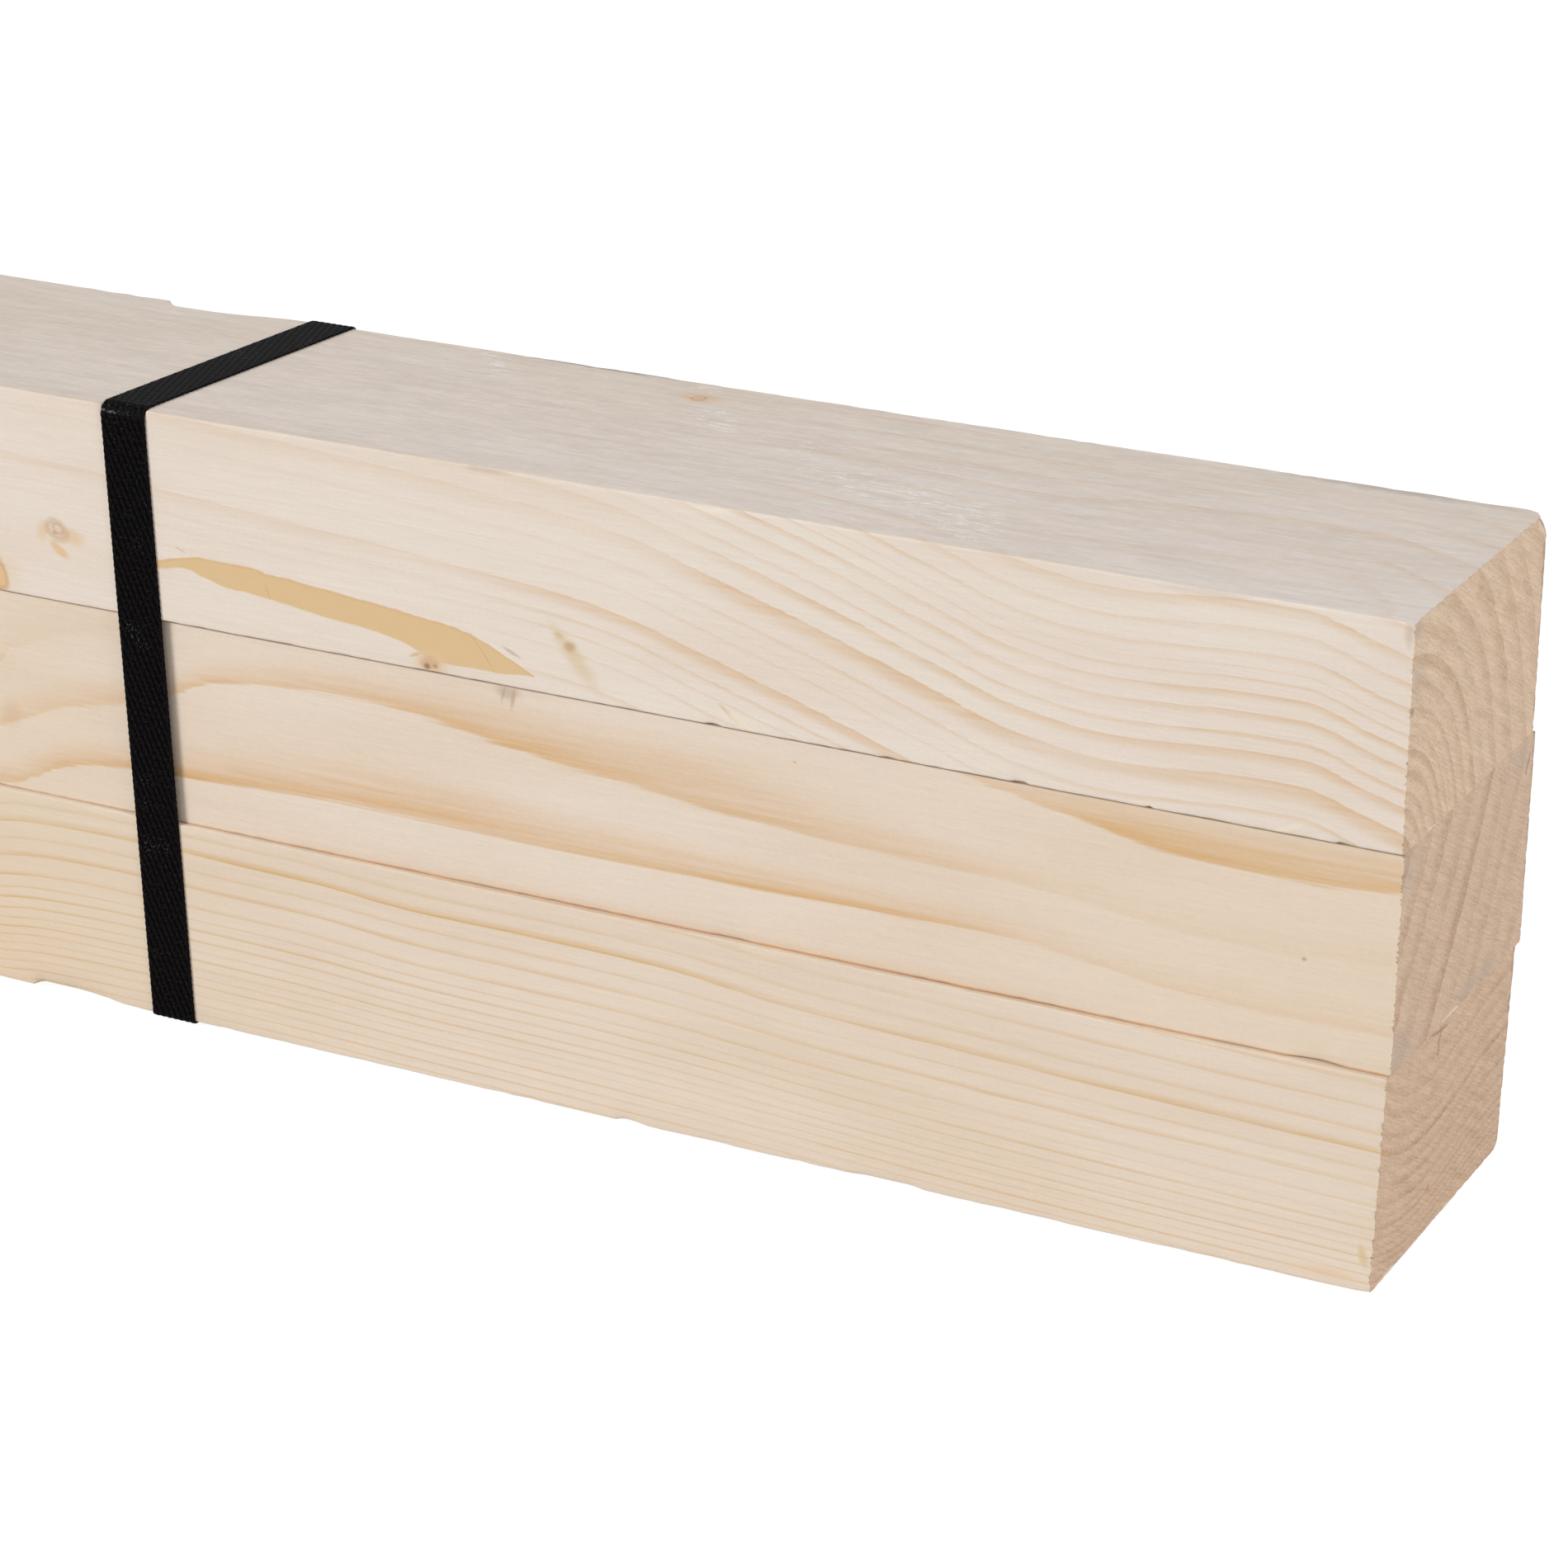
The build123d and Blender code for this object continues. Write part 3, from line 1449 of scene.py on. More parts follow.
    def _relief(self, across: float, path: np.ndarray, run: np.ndarray) -> np.ndarray:
        """Give how far the embossed face lies below the strap's full thickness.

        Args:
            across: Where the column is across the strap.
            path: The loop's points.
            run: The length run so far at each.

        Returns:
            The depth at each point.
        """
        row_least, row_gain = 0.35, 0.65
        weld_inset, weld_share, weld_ripple, weld_pitch = 7.0, 0.25, 0.05, 1.7
        low, high = self.lap[0] + weld_inset, self.lap[1] - weld_inset
        ridge = (1 + np.cos(2 * pi * (across / self.ridge_pitch - run / self.ridge_run))) / 2
        row = (1 + np.cos(2 * pi * run / self.row_pitch)) / 2
        depth = self.emboss * (1 - ridge * (row_least + row_gain * row))
        welded = (path[:, 0] > self.back) & (path[:, 1] > low) & (path[:, 1] < high)
        ripple = weld_ripple * (1 + np.sin(2 * pi * path[:, 1] / weld_pitch))
        return np.where(welded, weld_share * depth + ripple, depth)

    def _close(self, skin: Skin, rows: np.ndarray, run: np.ndarray) -> None:
        """Close the faces round the loop and lay them out on the bake map in four columns.

        Args:
            skin: The mesh.
            rows: The points' numbers, a row for each place along the loop.
            run: The length run so far at each.
        """
        quarters, margin, column = 4, 0.01, 26.0
        edge, underside, far_edge = 0.75, 11.1, 11.7
        total = run[-1] + self.pitch
        fold = total / quarters
        count = rows.shape[1]
        scale = (1 - 2 * margin) / max(fold + 1, column * quarters)
        girths = [0.0, self.bevel]
        girths += list(self.bevel + np.arange(1, self.columns) * (self.width / self.columns))
        girths += [girths[-1] + further for further in (self.bevel, edge, underside, far_edge)]
        for row in range(len(rows)):
            following = (row + 1) % len(rows)
            quarter = min(int(run[row] / fold), quarters - 1)
            here = margin + (run[row] - quarter * fold) * scale
            there = margin + ((run[following] if following else total) - quarter * fold) * scale
            base = margin + quarter * column * scale
            for index in range(count):
                beside = (index + 1) % count
                begin, end = base + girths[index] * scale, base + girths[index + 1] * scale
                skin.add_face(
                    (rows[row, index], rows[following, index], rows[following, beside], rows[row, beside]),
                    ((begin, here), (begin, there), (end, there), (end, here)),
                )


# Stage


@dataclass(frozen=True)
class SoftLamp:
    """A square studio lamp that faces the bundle."""

    name: str
    way: tuple[float, float, float]
    distance: float
    size: float
    power: float
    colour: Colour = (1.0, 1.0, 1.0)

    def place(self, target: Vector) -> None:
        """Put the lamp into the scene.

        Args:
            target: The point that it faces.
        """
        light = bpy.data.lights.new(self.name, "AREA")
        light.size = self.size
        light.energy = self.power
        light.color = self.colour
        lamp = put(self.name, light)
        outward = Vector(self.way).normalized()
        lamp.location = target + outward * self.distance
        lamp.rotation_mode = "QUATERNION"
        lamp.rotation_quaternion = (-outward).to_track_quat("-Z", "Y")


@dataclass
class Studio:
    """The pale floor, the lamps, the world and the camera."""

    target: tuple[float, float, float] = (900.0, 0.0, 66.0)
    floor_half: float = 15.0
    floor_level: float = -0.3
    floor_white: Colour = (0.78, 0.78, 0.78)
    shown_share: float = 0.82
    shown_level: float = 1.15
    world_level: float = 0.3
    lens: float = 107.93
    sensor: float = 36.0
    clip: Span = (0.05, 100.0)
    camera_place: tuple[float, float, float] = (1303.88, -771.57, 409.3)
    camera_view: tuple[float, float, float] = (-0.4235, 0.82689, -0.37)
    camera_right: tuple[float, float, float] = (0.88927, 0.45737, 0.00429)
    lamps: tuple[SoftLamp, ...] = (
        SoftLamp("key_lamp", way=(-0.62, -0.72, 0.42), distance=13.6, size=5.0, power=1245.0),
        SoftLamp("back_lamp", way=(0.5, 1.0, 0.12), distance=9.0, size=3.6, power=390.0),
        SoftLamp("end_lamp", way=(1.0, -0.1, 0.55), distance=7.2, size=4.2, power=205.0),
    )

    def build(self) -> None:
        """Set the stage."""
        bpy.context.scene.view_settings.view_transform = "Standard"
        self._floor()
        self._world()
        for lamp in self.lamps:
            lamp.place(Vector(self.target) * MM)
        self._camera()

    def _background_share(self, bench: Bench) -> Wire:
        """Tell the rays that show the background from those that light the bundle.

        Args:
            bench: Where the nodes are added.

        Returns:
            1 for a ray that shows it, else 0.
        """
        outputs = bench.node("ShaderNodeLightPath").socket.node.outputs
        rays = [Wire(bench, outputs[f"Is {kind} Ray"]) for kind in ("Camera", "Glossy", "Transmission")]
        return rays[0].most(rays[1]).most(rays[2])

    def _floor(self) -> None:
        """Lay a pale floor that keeps the bundle's shadow."""
        half, level = self.floor_half, self.floor_level * MM
        mesh = bpy.data.meshes.new("studio_floor")
        corners = [(-half, -half, level), (half, -half, level), (half, half, level), (-half, half, level)]
        mesh.from_pydata(corners, [], [(0, 1, 2, 3)])
        material, bench = blank_material("pale_floor")
        share = self._background_share(bench) * self.shown_share
        pale = bench.node("ShaderNodeBsdfDiffuse", None, {"Color": (*self.floor_white, 1.0)})
        white = bench.node("ShaderNodeEmission", None, {"Strength": self.shown_level})
        shader = bench.node("ShaderNodeMixShader", None, {0: share, 1: pale, 2: white})
        bench.node("ShaderNodeOutputMaterial", None, {"Surface": shader})
        mesh.materials.append(material)
        floor = put("studio_floor", mesh)

    def _world(self) -> None:
        """Surround the bundle with even light, and show white behind it."""
        world = bpy.data.worlds.new("studio_world")
        world.use_nodes = True
        bench = Bench(world.node_tree)
        share = self._background_share(bench)
        light = bench.node("ShaderNodeBackground", None, {"Color": WHITE, "Strength": self.world_level})
        white = bench.node("ShaderNodeBackground", None, {"Color": WHITE})
        shader = bench.node("ShaderNodeMixShader", None, {0: share, 1: light, 2: white})
        bench.node("ShaderNodeOutputWorld", None, {"Surface": shader})
        bpy.context.scene.world = world

    def _camera(self) -> None:
        """Put the camera where the photograph was taken from."""
        camera = bpy.data.cameras.new("camera")
        camera.sensor_fit = "HORIZONTAL"
        camera.sensor_width = self.sensor
        camera.lens = self.lens
        camera.clip_start, camera.clip_end = self.clip
        view = Vector(self.camera_view).normalized()
        right = Vector(self.camera_right)
        right = (right - view * right.dot(view)).normalized()
        up = right.cross(view)
        turn = Matrix((right, up, -view)).transposed().to_4x4()
        eye = put("camera", camera)
        eye.matrix_world = Matrix.Translation(Vector(self.camera_place) * MM) @ turn
        bpy.context.scene.camera = eye


# Growth rings
TOP_GRAIN = Grain(
    pith=(-40.0, 85.0),
    rings=(
        *counted((
            -41.0, -33.0, -25.5, -19.5, -15.9, -12.9, -8.4, -3.2, -1.0, 2.0, 8.0, 13.1, 16.3,
            20.5, 24.1, 26.8, 28.9, 31.8, 36.5, 41.5, 47.0, 53.5, 61.5, 69.6, 77.5,
        )),
        (95.0, 26.0),
    ),
    strengths=(
        0.3, 0.3, 0.3, 0.35, 0.5, 1.0, 0.35, 0.25, 0.5, 1.0, 0.85, 0.6, 0.7,
        0.8, 0.55, 0.35, 0.6, 0.5, 0.75, 0.4, 0.55, 0.6, 0.55, 0.5, 0.5, 0.5,
    ),
    climbs=((0.0, (
        (722.0, 43.8), (750.0, 42.7), (800.0, 39.2), (850.0, 35.7), (885.0, 32.2), (907.0, 26.6),
        (918.0, 23.5), (935.0, 18.6), (957.0, 11.3), (979.0, 5.0), (993.0, 3.7), (1005.0, 4.3),
        (1018.0, 5.3), (1029.0, 5.5), (1035.0, 4.5), (1041.0, 2.4), (1050.0, -0.2),
    )),),
    far_climb=(
        (-1050.0, 6.0), (-700.0, 14.0), (-300.0, -4.0), (100.0, 10.0),
        (450.0, -3.0), (640.0, 1.0), (722.0, 0.0),
    ),
    swing=(
        (722.0, -14.0), (885.0, -14.0), (905.0, -13.0), (957.0, -8.0), (975.0, -1.0),
        (991.0, 4.5), (1005.0, 5.0), (1020.0, 4.0), (1037.0, 2.0), (1050.0, 0.0),
    ),
    vigours=(
        (109.0, (
            (722.0, 0.3), (850.0, 0.35), (882.0, 1.0), (965.0, 1.0),
            (985.0, 0.85), (1010.0, 1.0), (1050.0, 1.1),
        )),
        (116.0, (
            (722.0, 0.3), (902.0, 0.45), (918.0, 1.0), (955.0, 0.9),
            (985.0, 0.7), (1010.0, 0.8), (1050.0, 1.1),
        )),
    ),
    opens_upward=True,
    late_shares=(0.08, 0.6),
    line_share=0.25,
)

MIDDLE_GRAIN = Grain(
    pith=(-166.0, 177.5),
    rings=counted((
        146.0, 155.5, 164.5, 173.7, 182.4, 192.0, 201.5, 210.5, 219.0, 228.0, 237.0, 246.0, 255.0, 264.0,
    )),
    strengths=(0.5, 1.0, 0.7, 0.75, 0.5, 1.0, 0.4, 0.45, 0.35, 0.4, 0.35, 0.4, 0.35),
    climbs=(
        (56.0, (
            (722.0, -9.0), (740.0, -8.0), (751.0, -4.7), (762.0, -0.2), (774.0, 1.2), (803.0, 2.6),
            (836.0, 3.3), (895.0, 3.3), (929.0, 3.6), (968.0, 4.0), (1007.0, 0.3), (1024.0, -0.2),
            (1050.0, 0.0),
        )),
        (74.0, (
            (722.0, -13.0), (738.0, -10.5), (744.0, -7.7), (747.0, -4.3), (753.0, -2.1), (762.0, 0.7),
            (773.0, 3.2), (788.0, 7.3), (796.0, 10.7), (803.0, 12.0), (825.0, 13.4), (847.0, 11.8),
            (869.0, 8.8), (895.0, 7.0), (921.0, 4.8), (935.0, 3.4), (985.0, 1.0), (1007.0, -1.0),
            (1029.0, -1.3), (1050.0, 0.0),
        )),
        (84.0, (
            (722.0, -13.0), (744.0, -7.7), (762.0, 0.7), (788.0, 7.3), (803.0, 12.0), (825.0, 13.4),
            (869.0, 13.0), (935.0, 12.0), (969.0, 6.2), (979.0, 4.2), (991.0, 2.0), (1002.0, 0.0),
            (1013.0, -1.1), (1024.0, -1.6), (1035.0, -1.4), (1050.0, 0.0),
        )),
    ),
    far_climb=((-1050.0, 10.0), (-600.0, -12.0), (-150.0, 8.0), (300.0, -10.0), (600.0, 2.0), (722.0, 0.0)),
    vigours=(
        (69.0, ((722.0, 0.8), (775.0, 0.9), (800.0, 1.1), (950.0, 1.0), (990.0, 0.4), (1050.0, 0.3))),
        (75.0, (
            (722.0, 0.1), (780.0, 0.3), (795.0, 1.1), (900.0, 1.1),
            (950.0, 0.9), (990.0, 0.4), (1050.0, 0.4),
        )),
        (81.0, (
            (722.0, 0.1), (780.0, 0.1), (800.0, 0.9), (900.0, 0.9),
            (970.0, 0.6), (1010.0, 0.9), (1050.0, 0.8),
        )),
    ),
    end_vigour=0.8,
    line_share=0.4,
    wander=0.15,
)

BOTTOM_GRAIN = Grain(
    pith=(-8.0, 76.0),
    rings=(
        *counted((30.0, 34.0, 38.5, 42.5, 46.6, 50.5, 53.7, 56.9, 59.9, 63.5)),
        (67.7, 11.0), (71.6, 13.0), (74.9, 15.0), (78.2, 17.0), (92.0, 24.0),
    ),
    strengths=(
        0.45, 0.35, 0.5, 0.35, 0.45, 1.0, 0.4, 0.6, 0.55, 0.4, 0.65, 0.5, 0.4, 0.6, 0.5, 0.35, 0.6, 0.4,
        0.5, 0.4, 0.5, 0.45, 0.5, 0.4,
    ),
    climbs=(
        (5.0, (
            (722.0, 3.2), (740.0, 4.3), (760.0, 5.8), (790.0, 6.0), (850.0, 5.0), (895.0, 4.2),
            (985.0, 1.2), (1050.0, 0.0),
        )),
        (36.0, (
            (722.0, 5.5), (740.0, 7.2), (753.0, 8.6), (774.0, 9.1), (814.0, 8.6), (847.0, 6.9),
            (885.0, 6.8), (935.0, 3.6), (985.0, 1.8), (1050.0, 0.0),
        )),
    ),
    far_climb=((-1050.0, -5.0), (-600.0, 4.0), (-200.0, -4.0), (250.0, 5.0), (560.0, -2.0), (722.0, 0.0)),
    vigours=((0.0, ((722.0, 1.5), (765.0, 1.35), (800.0, 1.05), (900.0, 1.0), (1050.0, 0.95))),),
    flattening=0.012,
    late_shares=(0.15, 0.4),
    line_share=0.35,
)

RESIN = ResinPocket(
    upper=(
        (778.0, 100.9), (784.7, 101.6), (790.5, 102.9), (796.0, 103.7), (803.0, 103.7), (811.0, 103.0),
        (831.0, 101.3), (842.0, 100.2), (855.0, 98.8), (861.0, 96.9), (866.0, 94.7), (872.0, 91.8),
    ),
    lower=(
        (778.0, 100.3), (785.0, 99.9), (791.0, 100.7), (795.0, 99.9), (801.0, 98.4), (811.0, 97.6),
        (822.0, 96.2), (834.0, 95.1), (842.0, 93.8), (846.0, 92.3), (851.0, 91.0), (862.0, 91.0),
        (872.0, 91.5),
    ),
    colour=paint(220, 188, 143),
    rim=paint(210, 172, 122),
)

# Colours of the marks
KNOT_BROWN = paint(182, 136, 98)
KNOT_TAN = paint(208, 174, 138)
KNOT_DARK = paint(126, 96, 74)
HALO = paint(224, 192, 152)
AMBER = paint(224, 180, 120)
OLIVE = paint(212, 186, 140)
CRACK = paint(186, 146, 100)
SCUFF_PALE = paint(244, 239, 233)
DIRT = paint(112, 107, 104)
DRIP = paint(188, 164, 140)
TORN_PALE = paint(238, 224, 200)
END_GREY = paint(176, 160, 146)
# Painted shade in the crevice under the top batten's overhang.
SEAM_SHADE = paint(104, 80, 62)
# Painted warm shade in the crevice above the bottom batten, orange-brown from light bouncing through the
# wood.
SEAM_WARM_SHADE = paint(208, 152, 100)
SAPWOOD = paint(220, 192, 150)

# Marks on the faces
TOP_MARKS = (
    Mark(Face.FRONT, (757.0, 103.4), (1.3, 2.0), HALO, softness=0.7, strength=0.6),
    Mark(Face.FRONT, (764.4, 103.2), (2.8, 1.5), HALO, tilt=-12.0, softness=0.7, strength=0.7),
    Mark(Face.FRONT, (760.6, 104.0), (2.9, 2.3), KNOT_TAN, tilt=-20.0, softness=0.4, strength=0.4),
    Mark(Face.FRONT, (760.6, 104.1), (2.9, 2.2), KNOT_BROWN, tilt=-20.0, strength=0.3, kind=MarkKind.RING),
    Mark(Face.FRONT, (760.9, 104.4), (1.5, 1.1), KNOT_BROWN, tilt=-30.0, strength=0.4, kind=MarkKind.RING),
    Mark(Face.FRONT, (760.0, 103.4), (0.6, 0.4), KNOT_BROWN, softness=0.6, strength=0.5),
    Mark(Face.FRONT, (761.0, 99.8), (2.6, 0.9), AMBER, tilt=-33.0, softness=0.5, strength=0.65),
    Mark(Face.FRONT, (745.0, 92.5), (5.0, 4.0), HALO, softness=0.8, strength=0.4),
    Mark(Face.FRONT, (745.4, 92.2), (2.0, 3.8), AMBER, tilt=12.0, strength=0.75),
    Mark(Face.FRONT, (745.6, 92.0), (2.1, 3.8), KNOT_BROWN, tilt=12.0, strength=0.4, kind=MarkKind.RING),
    Mark(Face.FRONT, (848.6, 90.8), (3.2, 2.3), HALO, softness=0.6, strength=0.9),
    Mark(Face.FRONT, (848.4, 90.4), (2.1, 1.3), KNOT_TAN, softness=0.5, ragged=0.6, strength=0.9),
    Mark(Face.FRONT, (847.7, 89.7), (0.7, 0.6), KNOT_DARK, softness=0.6, strength=0.7),
    Mark(Face.FRONT, (849.6, 90.0), (0.6, 0.4), KNOT_BROWN, softness=0.6, strength=0.7),
    Mark(Face.FRONT, (845.0, 91.7), (1.3, 0.35), KNOT_TAN, tilt=22.0, softness=0.5, strength=0.7),
    Mark(Face.FRONT, (881.0, 97.2), (6.4, 1.6), OLIVE, tilt=-50.0, softness=0.8, strength=0.55),
    Mark(Face.FRONT, (880.0, 99.3), (1.2, 0.9), CRACK, softness=0.6, strength=0.65),
    Mark(Face.FRONT, (877.6, 101.2), (1.0, 0.6), OLIVE, tilt=-20.0, softness=0.6, strength=0.7),
    Mark(Face.FRONT, (790.6, 104.6), (1.2, 0.2), DRIP, tilt=-20.0, softness=0.6, strength=0.5),
    Mark(Face.FRONT, (866.9, 95.9), (2.0, 0.35), DRIP, tilt=-22.0, softness=0.6, strength=0.6),
    Mark(Face.FRONT, (811.0, 99.2), (1.5, 0.14), CRACK, tilt=-68.0, ragged=0.1, strength=0.4),
    Mark(Face.FRONT, (860.4, 94.8), (4.4, 0.14), CRACK, tilt=-52.0, ragged=0.1, strength=0.35),
    Mark(Face.FRONT, (915.5, 91.2), (3.6, 0.5), OLIVE, tilt=-32.0, strength=0.6),
    Mark(Face.FRONT, (916.8, 90.6), (3.0, 0.6), TORN_PALE, tilt=-32.0, strength=0.8),
    Mark(Face.FRONT, (1000.0, 89.0), (2.6, 0.7), TORN_PALE, strength=0.6),
    Mark(Face.FRONT, (1028.0, 89.8), (3.2, 0.6), TORN_PALE, tilt=22.0, strength=0.6),
    Mark(Face.FRONT, (1012.0, 131.7), (9.0, 0.6), DRIP, softness=0.7, strength=0.3),
    Mark(Face.FRONT, (862.5, 132.0), (4.0, 0.5), DRIP, softness=0.7, strength=0.55),
    Mark(Face.FRONT, (1049.0, 130.6), (0.9, 2.2), DRIP, softness=0.7, strength=0.45),
    Mark(Face.TOP, (876.6, 24.6), (4.0, 2.6), AMBER, softness=0.7, strength=0.55),
    Mark(Face.TOP, (876.6, 24.4), (1.7, 1.6), KNOT_BROWN, strength=0.7, kind=MarkKind.RING),
    Mark(Face.TOP, (876.6, 24.4), (0.9, 0.8), KNOT_TAN, softness=0.5, strength=0.7),
    Mark(Face.TOP, (829.0, 25.0), (12.0, 2.0), SCUFF_PALE, tilt=-52.0, strength=0.8, kind=MarkKind.SCUFF),
    Mark(Face.TOP, (874.5, 31.0), (3.0, 3.5), SCUFF_PALE, strength=0.8, kind=MarkKind.SCUFF),
    Mark(Face.TOP, (887.0, 12.0), (8.0, 4.0), SCUFF_PALE, tilt=-60.0, strength=0.8, kind=MarkKind.SCUFF),
    Mark(Face.TOP, (910.0, 4.0), (3.0, 5.0), SCUFF_PALE, strength=0.8, kind=MarkKind.SCUFF),
    Mark(Face.TOP, (940.0, -12.0), (24.0, 7.0), SCUFF_PALE, tilt=-15.0, strength=0.8, kind=MarkKind.SCUFF),
    Mark(Face.TOP, (955.0, -22.0), (12.0, 7.0), SCUFF_PALE, tilt=-35.0, strength=0.8, kind=MarkKind.SCUFF),
    Mark(
        Face.TOP, (880.0, 0.0), (180.0, 36.0), SCUFF_PALE, softness=0.9, strength=0.22, kind=MarkKind.SCUFF,
    ),
    Mark(Face.TOP, (850.0, 34.2), (16.0, 1.2), DIRT, softness=0.8, ragged=0.8, strength=0.6),
    Mark(Face.TOP, (1024.0, 35.0), (18.0, 2.6), DIRT, softness=0.9, ragged=0.8, strength=0.4),
    Mark(Face.END, (-33.2, 115.5), (1.0, 0.8), KNOT_DARK, softness=0.5, strength=0.5),
    Mark(Face.END, (-33.0, 131.0), (2.4, 1.6), END_GREY, softness=0.7, ragged=0.8, strength=0.6),
    Mark(Face.END, (-31.0, 121.0), (3.0, 4.0), END_GREY, softness=0.9, ragged=0.8, strength=0.35),
)

MIDDLE_MARKS = (
    # Painted shade: a dark line along the seam under the top batten.
    Mark(Face.FRONT, (0.0, 88.35), (4000.0, 0.3), SEAM_SHADE, softness=0.5, ragged=0.2, strength=0.75),
    # Painted warm shade along the seam above the bottom batten, fading out to the left.
    Mark(Face.FRONT, (1050.0, 44.75), (330.0, 0.3), SEAM_WARM_SHADE, softness=0.6, ragged=0.3, strength=0.8),
    Mark(Face.FRONT, (730.0, 66.0), (50.0, 40.0), SAPWOOD, softness=0.9, ragged=0.0, strength=0.16),
    Mark(Face.FRONT, (1050.0, 62.0), (75.0, 40.0), SAPWOOD, softness=0.9, ragged=0.0, strength=0.2),
    Mark(Face.FRONT, (928.0, 83.8), (0.4, 0.3), KNOT_BROWN, softness=0.6, strength=0.4),
    Mark(Face.FRONT, (1032.0, 64.5), (0.45, 0.4), CRACK, softness=0.6, strength=0.7),
    Mark(Face.FRONT, (865.2, 87.0), (2.4, 1.2), DRIP, softness=0.7, ragged=0.7, strength=0.6),
    Mark(Face.FRONT, (864.2, 86.4), (1.7, 0.3), DRIP, tilt=75.0, softness=0.7, strength=0.6),
    Mark(Face.FRONT, (866.4, 85.8), (2.1, 0.4), DRIP, tilt=80.0, softness=0.7, strength=0.7),
    Mark(Face.FRONT, (745.6, 61.5), (2.2, 2.6), KNOT_TAN, softness=0.8, strength=0.4),
    Mark(Face.END, (-30.0, 84.5), (6.0, 5.0), END_GREY, softness=0.9, ragged=0.9, strength=0.4),
    Mark(Face.END, (-29.0, 48.0), (7.0, 4.0), END_GREY, softness=0.9, ragged=0.9, strength=0.5),
    Mark(Face.END, (12.0, 46.0), (12.0, 2.0), END_GREY, softness=0.9, ragged=0.9, strength=0.45),
    Mark(Face.END, (29.5, 85.5), (5.0, 3.0), END_GREY, softness=0.9, ragged=0.9, strength=0.4),
    Mark(Face.END, (34.0, 82.5), (2.4, 0.5), KNOT_DARK, tilt=60.0, strength=0.5),
)

BOTTOM_MARKS = (
    Mark(Face.FRONT, (730.0, 22.0), (50.0, 40.0), SAPWOOD, softness=0.9, ragged=0.0, strength=0.3),
    Mark(Face.FRONT, (1046.7, 8.2), (0.8, 2.0), OLIVE, tilt=15.0, softness=0.6, strength=0.7),
    Mark(Face.FRONT, (1040.0, 3.2), (5.5, 0.9), HALO, softness=0.7, strength=0.5),
    Mark(Face.END, (-5.5, 40.2), (0.4, 3.0), KNOT_DARK, softness=0.5, strength=0.5),
    Mark(Face.END, (-6.0, 42.9), (4.5, 0.35), KNOT_DARK, tilt=-8.0, softness=0.5, strength=0.5),
    Mark(Face.END, (-5.0, 9.6), (1.0, 0.6), KNOT_BROWN, tilt=-30.0, strength=0.6),
)

# The wood of each batten
TOP_WOOD = PlanedWood(
    name="planed_wood_top",
    grain=TOP_GRAIN,
    early=paint(231, 219, 206),
    early_warm=paint(228, 213, 198),
    late=paint(219, 189, 156),
    end_early=paint(209, 183, 157),
    end_late=paint(184, 153, 124),
    marks=TOP_MARKS,
    pocket=RESIN,
    # A painted cool tint for the light on the top face.
    top_tint_share=0.35,
)

MIDDLE_WOOD = PlanedWood(
    name="planed_wood_middle",
    grain=MIDDLE_GRAIN,
    early=paint(229, 213, 196),
    early_warm=paint(226, 208, 189),
    late=paint(213, 171, 119),
    end_early=paint(203, 175, 150),
    end_late=paint(177, 146, 120),
    marks=MIDDLE_MARKS,
)

BOTTOM_WOOD = PlanedWood(
    name="planed_wood_bottom",
    grain=BOTTOM_GRAIN,
    early=paint(227, 211, 193),
    early_warm=paint(224, 206, 186),
    late=paint(213, 178, 130),
    end_early=paint(203, 174, 148),
    end_late=paint(178, 146, 117),
    marks=BOTTOM_MARKS,
)

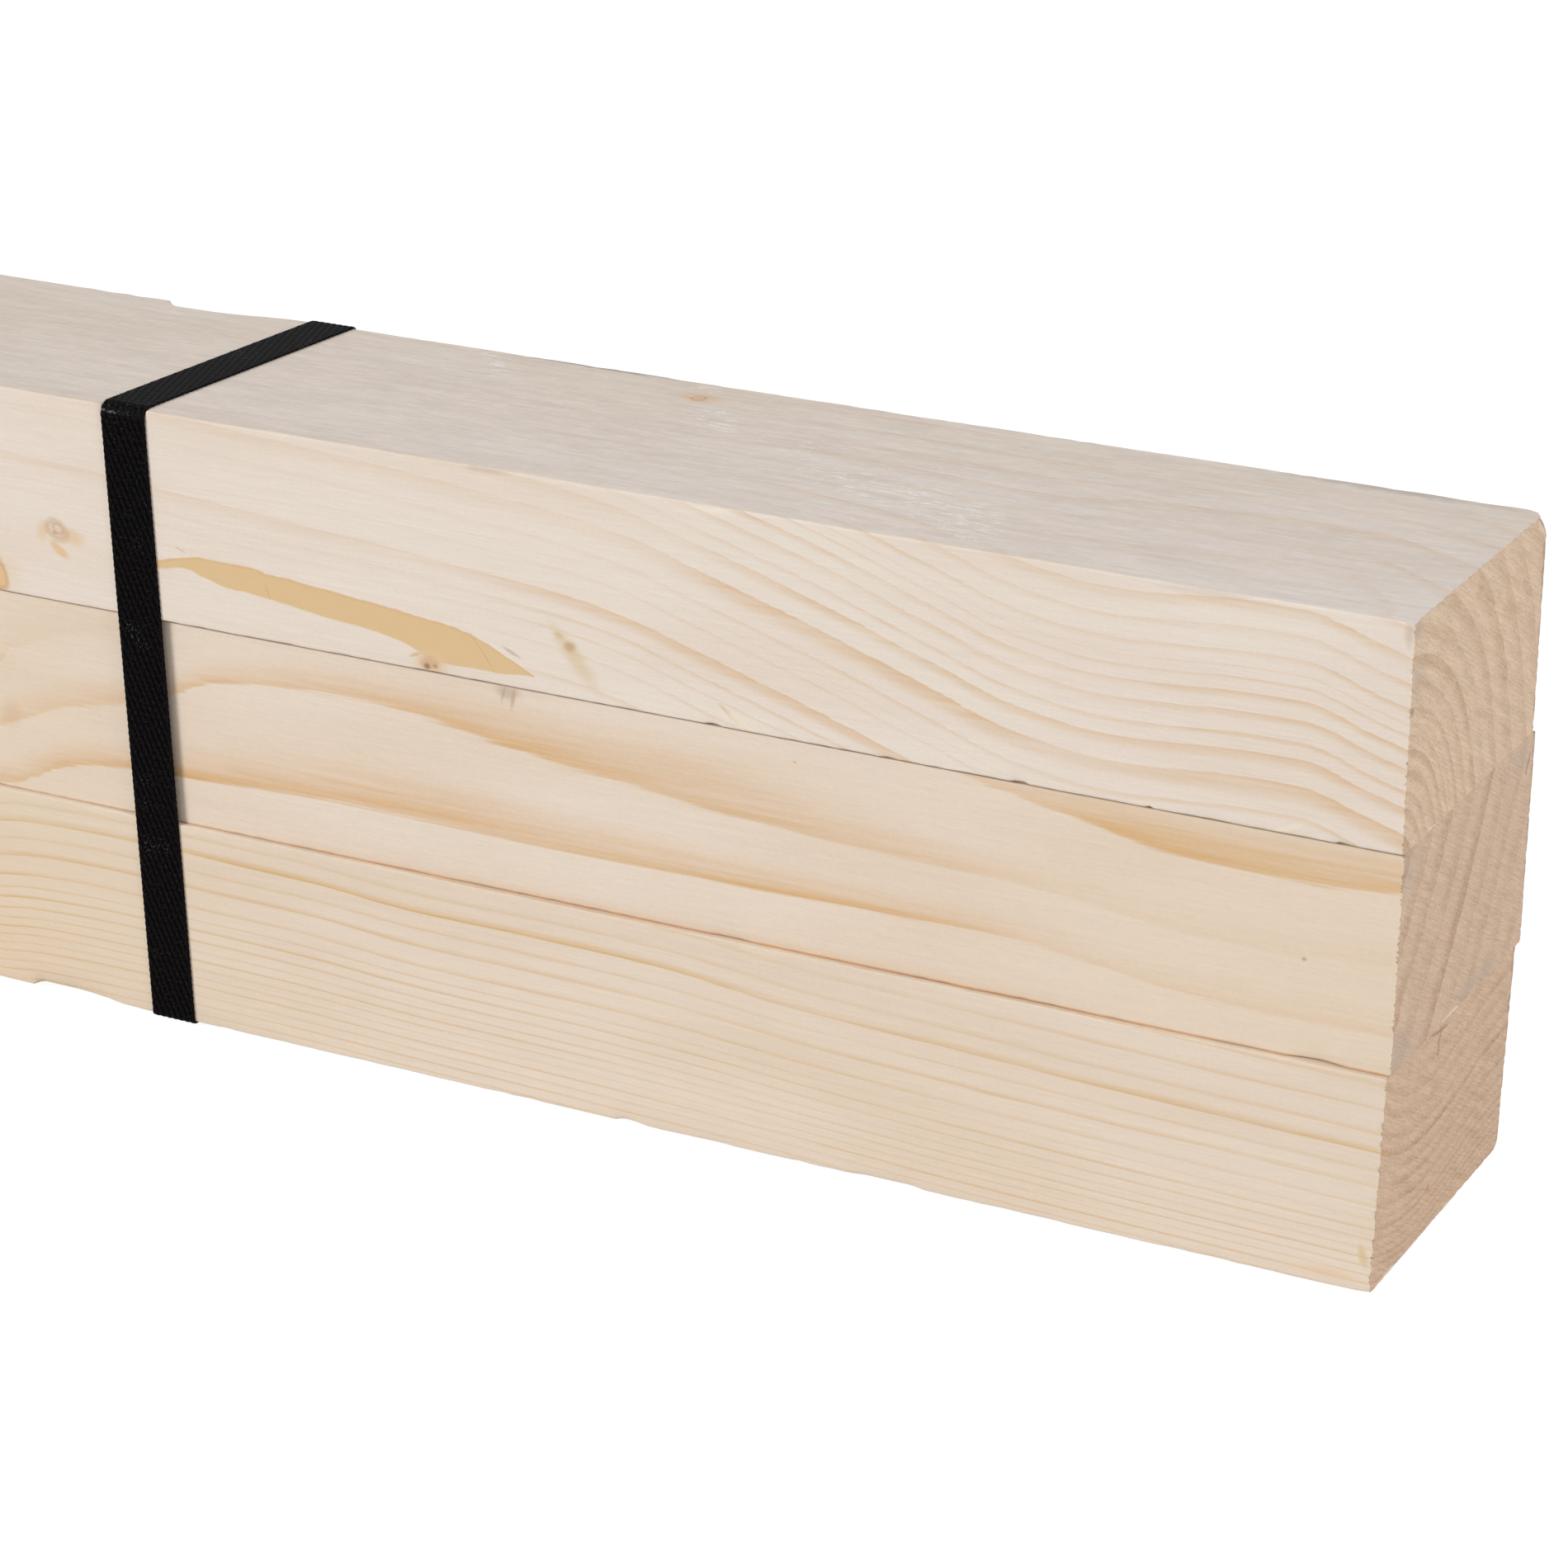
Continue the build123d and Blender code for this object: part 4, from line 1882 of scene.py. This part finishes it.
# Worn and broken arrises
TOP_CHIPS = (
    Chip(Arris.FRONT_BOTTOM, 909.5, 912.5, 0.4),
    Chip(Arris.FRONT_BOTTOM, 946.5, 949.5, 0.25),
    Chip(Arris.FRONT_BOTTOM, 973.5, 977.0, 0.35),
    Chip(Arris.FRONT_BOTTOM, 1000.0, 1002.0, 0.35),
    Chip(Arris.FRONT_BOTTOM, 1037.0, 1038.5, 0.55),
    Chip(Arris.FRONT_BOTTOM, 1042.5, 1044.0, 0.6),
    Chip(Arris.BACK_TOP, 743.0, 777.0, 1.2, run_in=1.5, run_out=26.0, reach=5.0),
    Chip(Arris.FRONT_TOP, 772.3, 784.1, 0.85, reach=4.5),
    Chip(Arris.FRONT_TOP, -784.1, -772.3, 0.85, reach=4.5),
    Chip(Arris.FRONT_TOP, 1005.0, 1022.0, 0.4, run_in=3.0, run_out=4.0),
    Chip(Arris.FRONT_TOP, 1046.0, 1051.0, 0.4, run_in=4.0),
    Chip(Arris.FRONT_TOP, 858.0, 867.0, 0.5, run_in=2.0, run_out=3.0),
    Chip(Arris.FRONT_TOP, 904.0, 916.0, 0.4, run_in=3.0, run_out=5.0),
)

MIDDLE_CHIPS = (
    Chip(Arris.FRONT_BOTTOM, 908.0, 920.0, 0.2, run_in=4.0, run_out=3.0),
    Chip(Arris.FRONT_BOTTOM, 972.0, 986.0, 0.2, run_in=4.0, run_out=4.0),
    Chip(Arris.FRONT_BOTTOM, 1028.0, 1042.0, 0.55, run_in=6.0, run_out=4.0),
)

BOTTOM_CHIPS = (
    Chip(Arris.FRONT_BOTTOM, 748.5, 775.0, 1.3, run_in=0.9, run_out=17.0, reach=4.0),
    Chip(Arris.FRONT_BOTTOM, 889.0, 897.0, 0.6, run_in=1.5, run_out=5.0),
    Chip(Arris.FRONT_BOTTOM, 940.0, 958.0, 0.5, run_in=5.0, run_out=5.0),
    Chip(Arris.FRONT_BOTTOM, 1046.0, 1051.0, 0.3, run_in=4.0),
)

# The pieces
STRAPPING = DullStrapping()

BUNDLE: tuple[Batten | Strap, ...] = (
    Batten(
        "planed_batten_bottom", "batten_bottom", underside=0.6, finish=BOTTOM_WOOD, seed=11,
        step=-0.5, chips=BOTTOM_CHIPS, arrises=(0.4, 2.2, 0.8, 0.25), slant=1.1, splay=0.25,
    ),
    Batten(
        "planed_batten_middle", "batten_middle", underside=44.6, finish=MIDDLE_WOOD, seed=12,
        setback=1.2, chips=MIDDLE_CHIPS, arrises=(0.15, 0.8, 0.8, 0.6), slant=0.25, splay=0.5,
    ),
    Batten(
        "planed_batten_top", "batten_top", underside=88.6, finish=TOP_WOOD, seed=13,
        chips=TOP_CHIPS, arrises=(0.5, 0.8, 0.5, 0.4), splay=0.4, worn_corner=4.6,
    ),
    Strap("strapping_right", "strap_right", 1, STRAPPING),
    Strap("strapping_left", "strap_left", -1, STRAPPING),
)


def main() -> None:
    """Build the bundle and its stage."""
    logging.basicConfig(level=logging.INFO, format="%(name)s: %(message)s")
    for part in BUNDLE:
        piece = part.build()
        LOG.info("%s has %d faces", piece.name, len(piece.data.polygons))
    Studio().build()


if __name__ == "__main__":
    main()
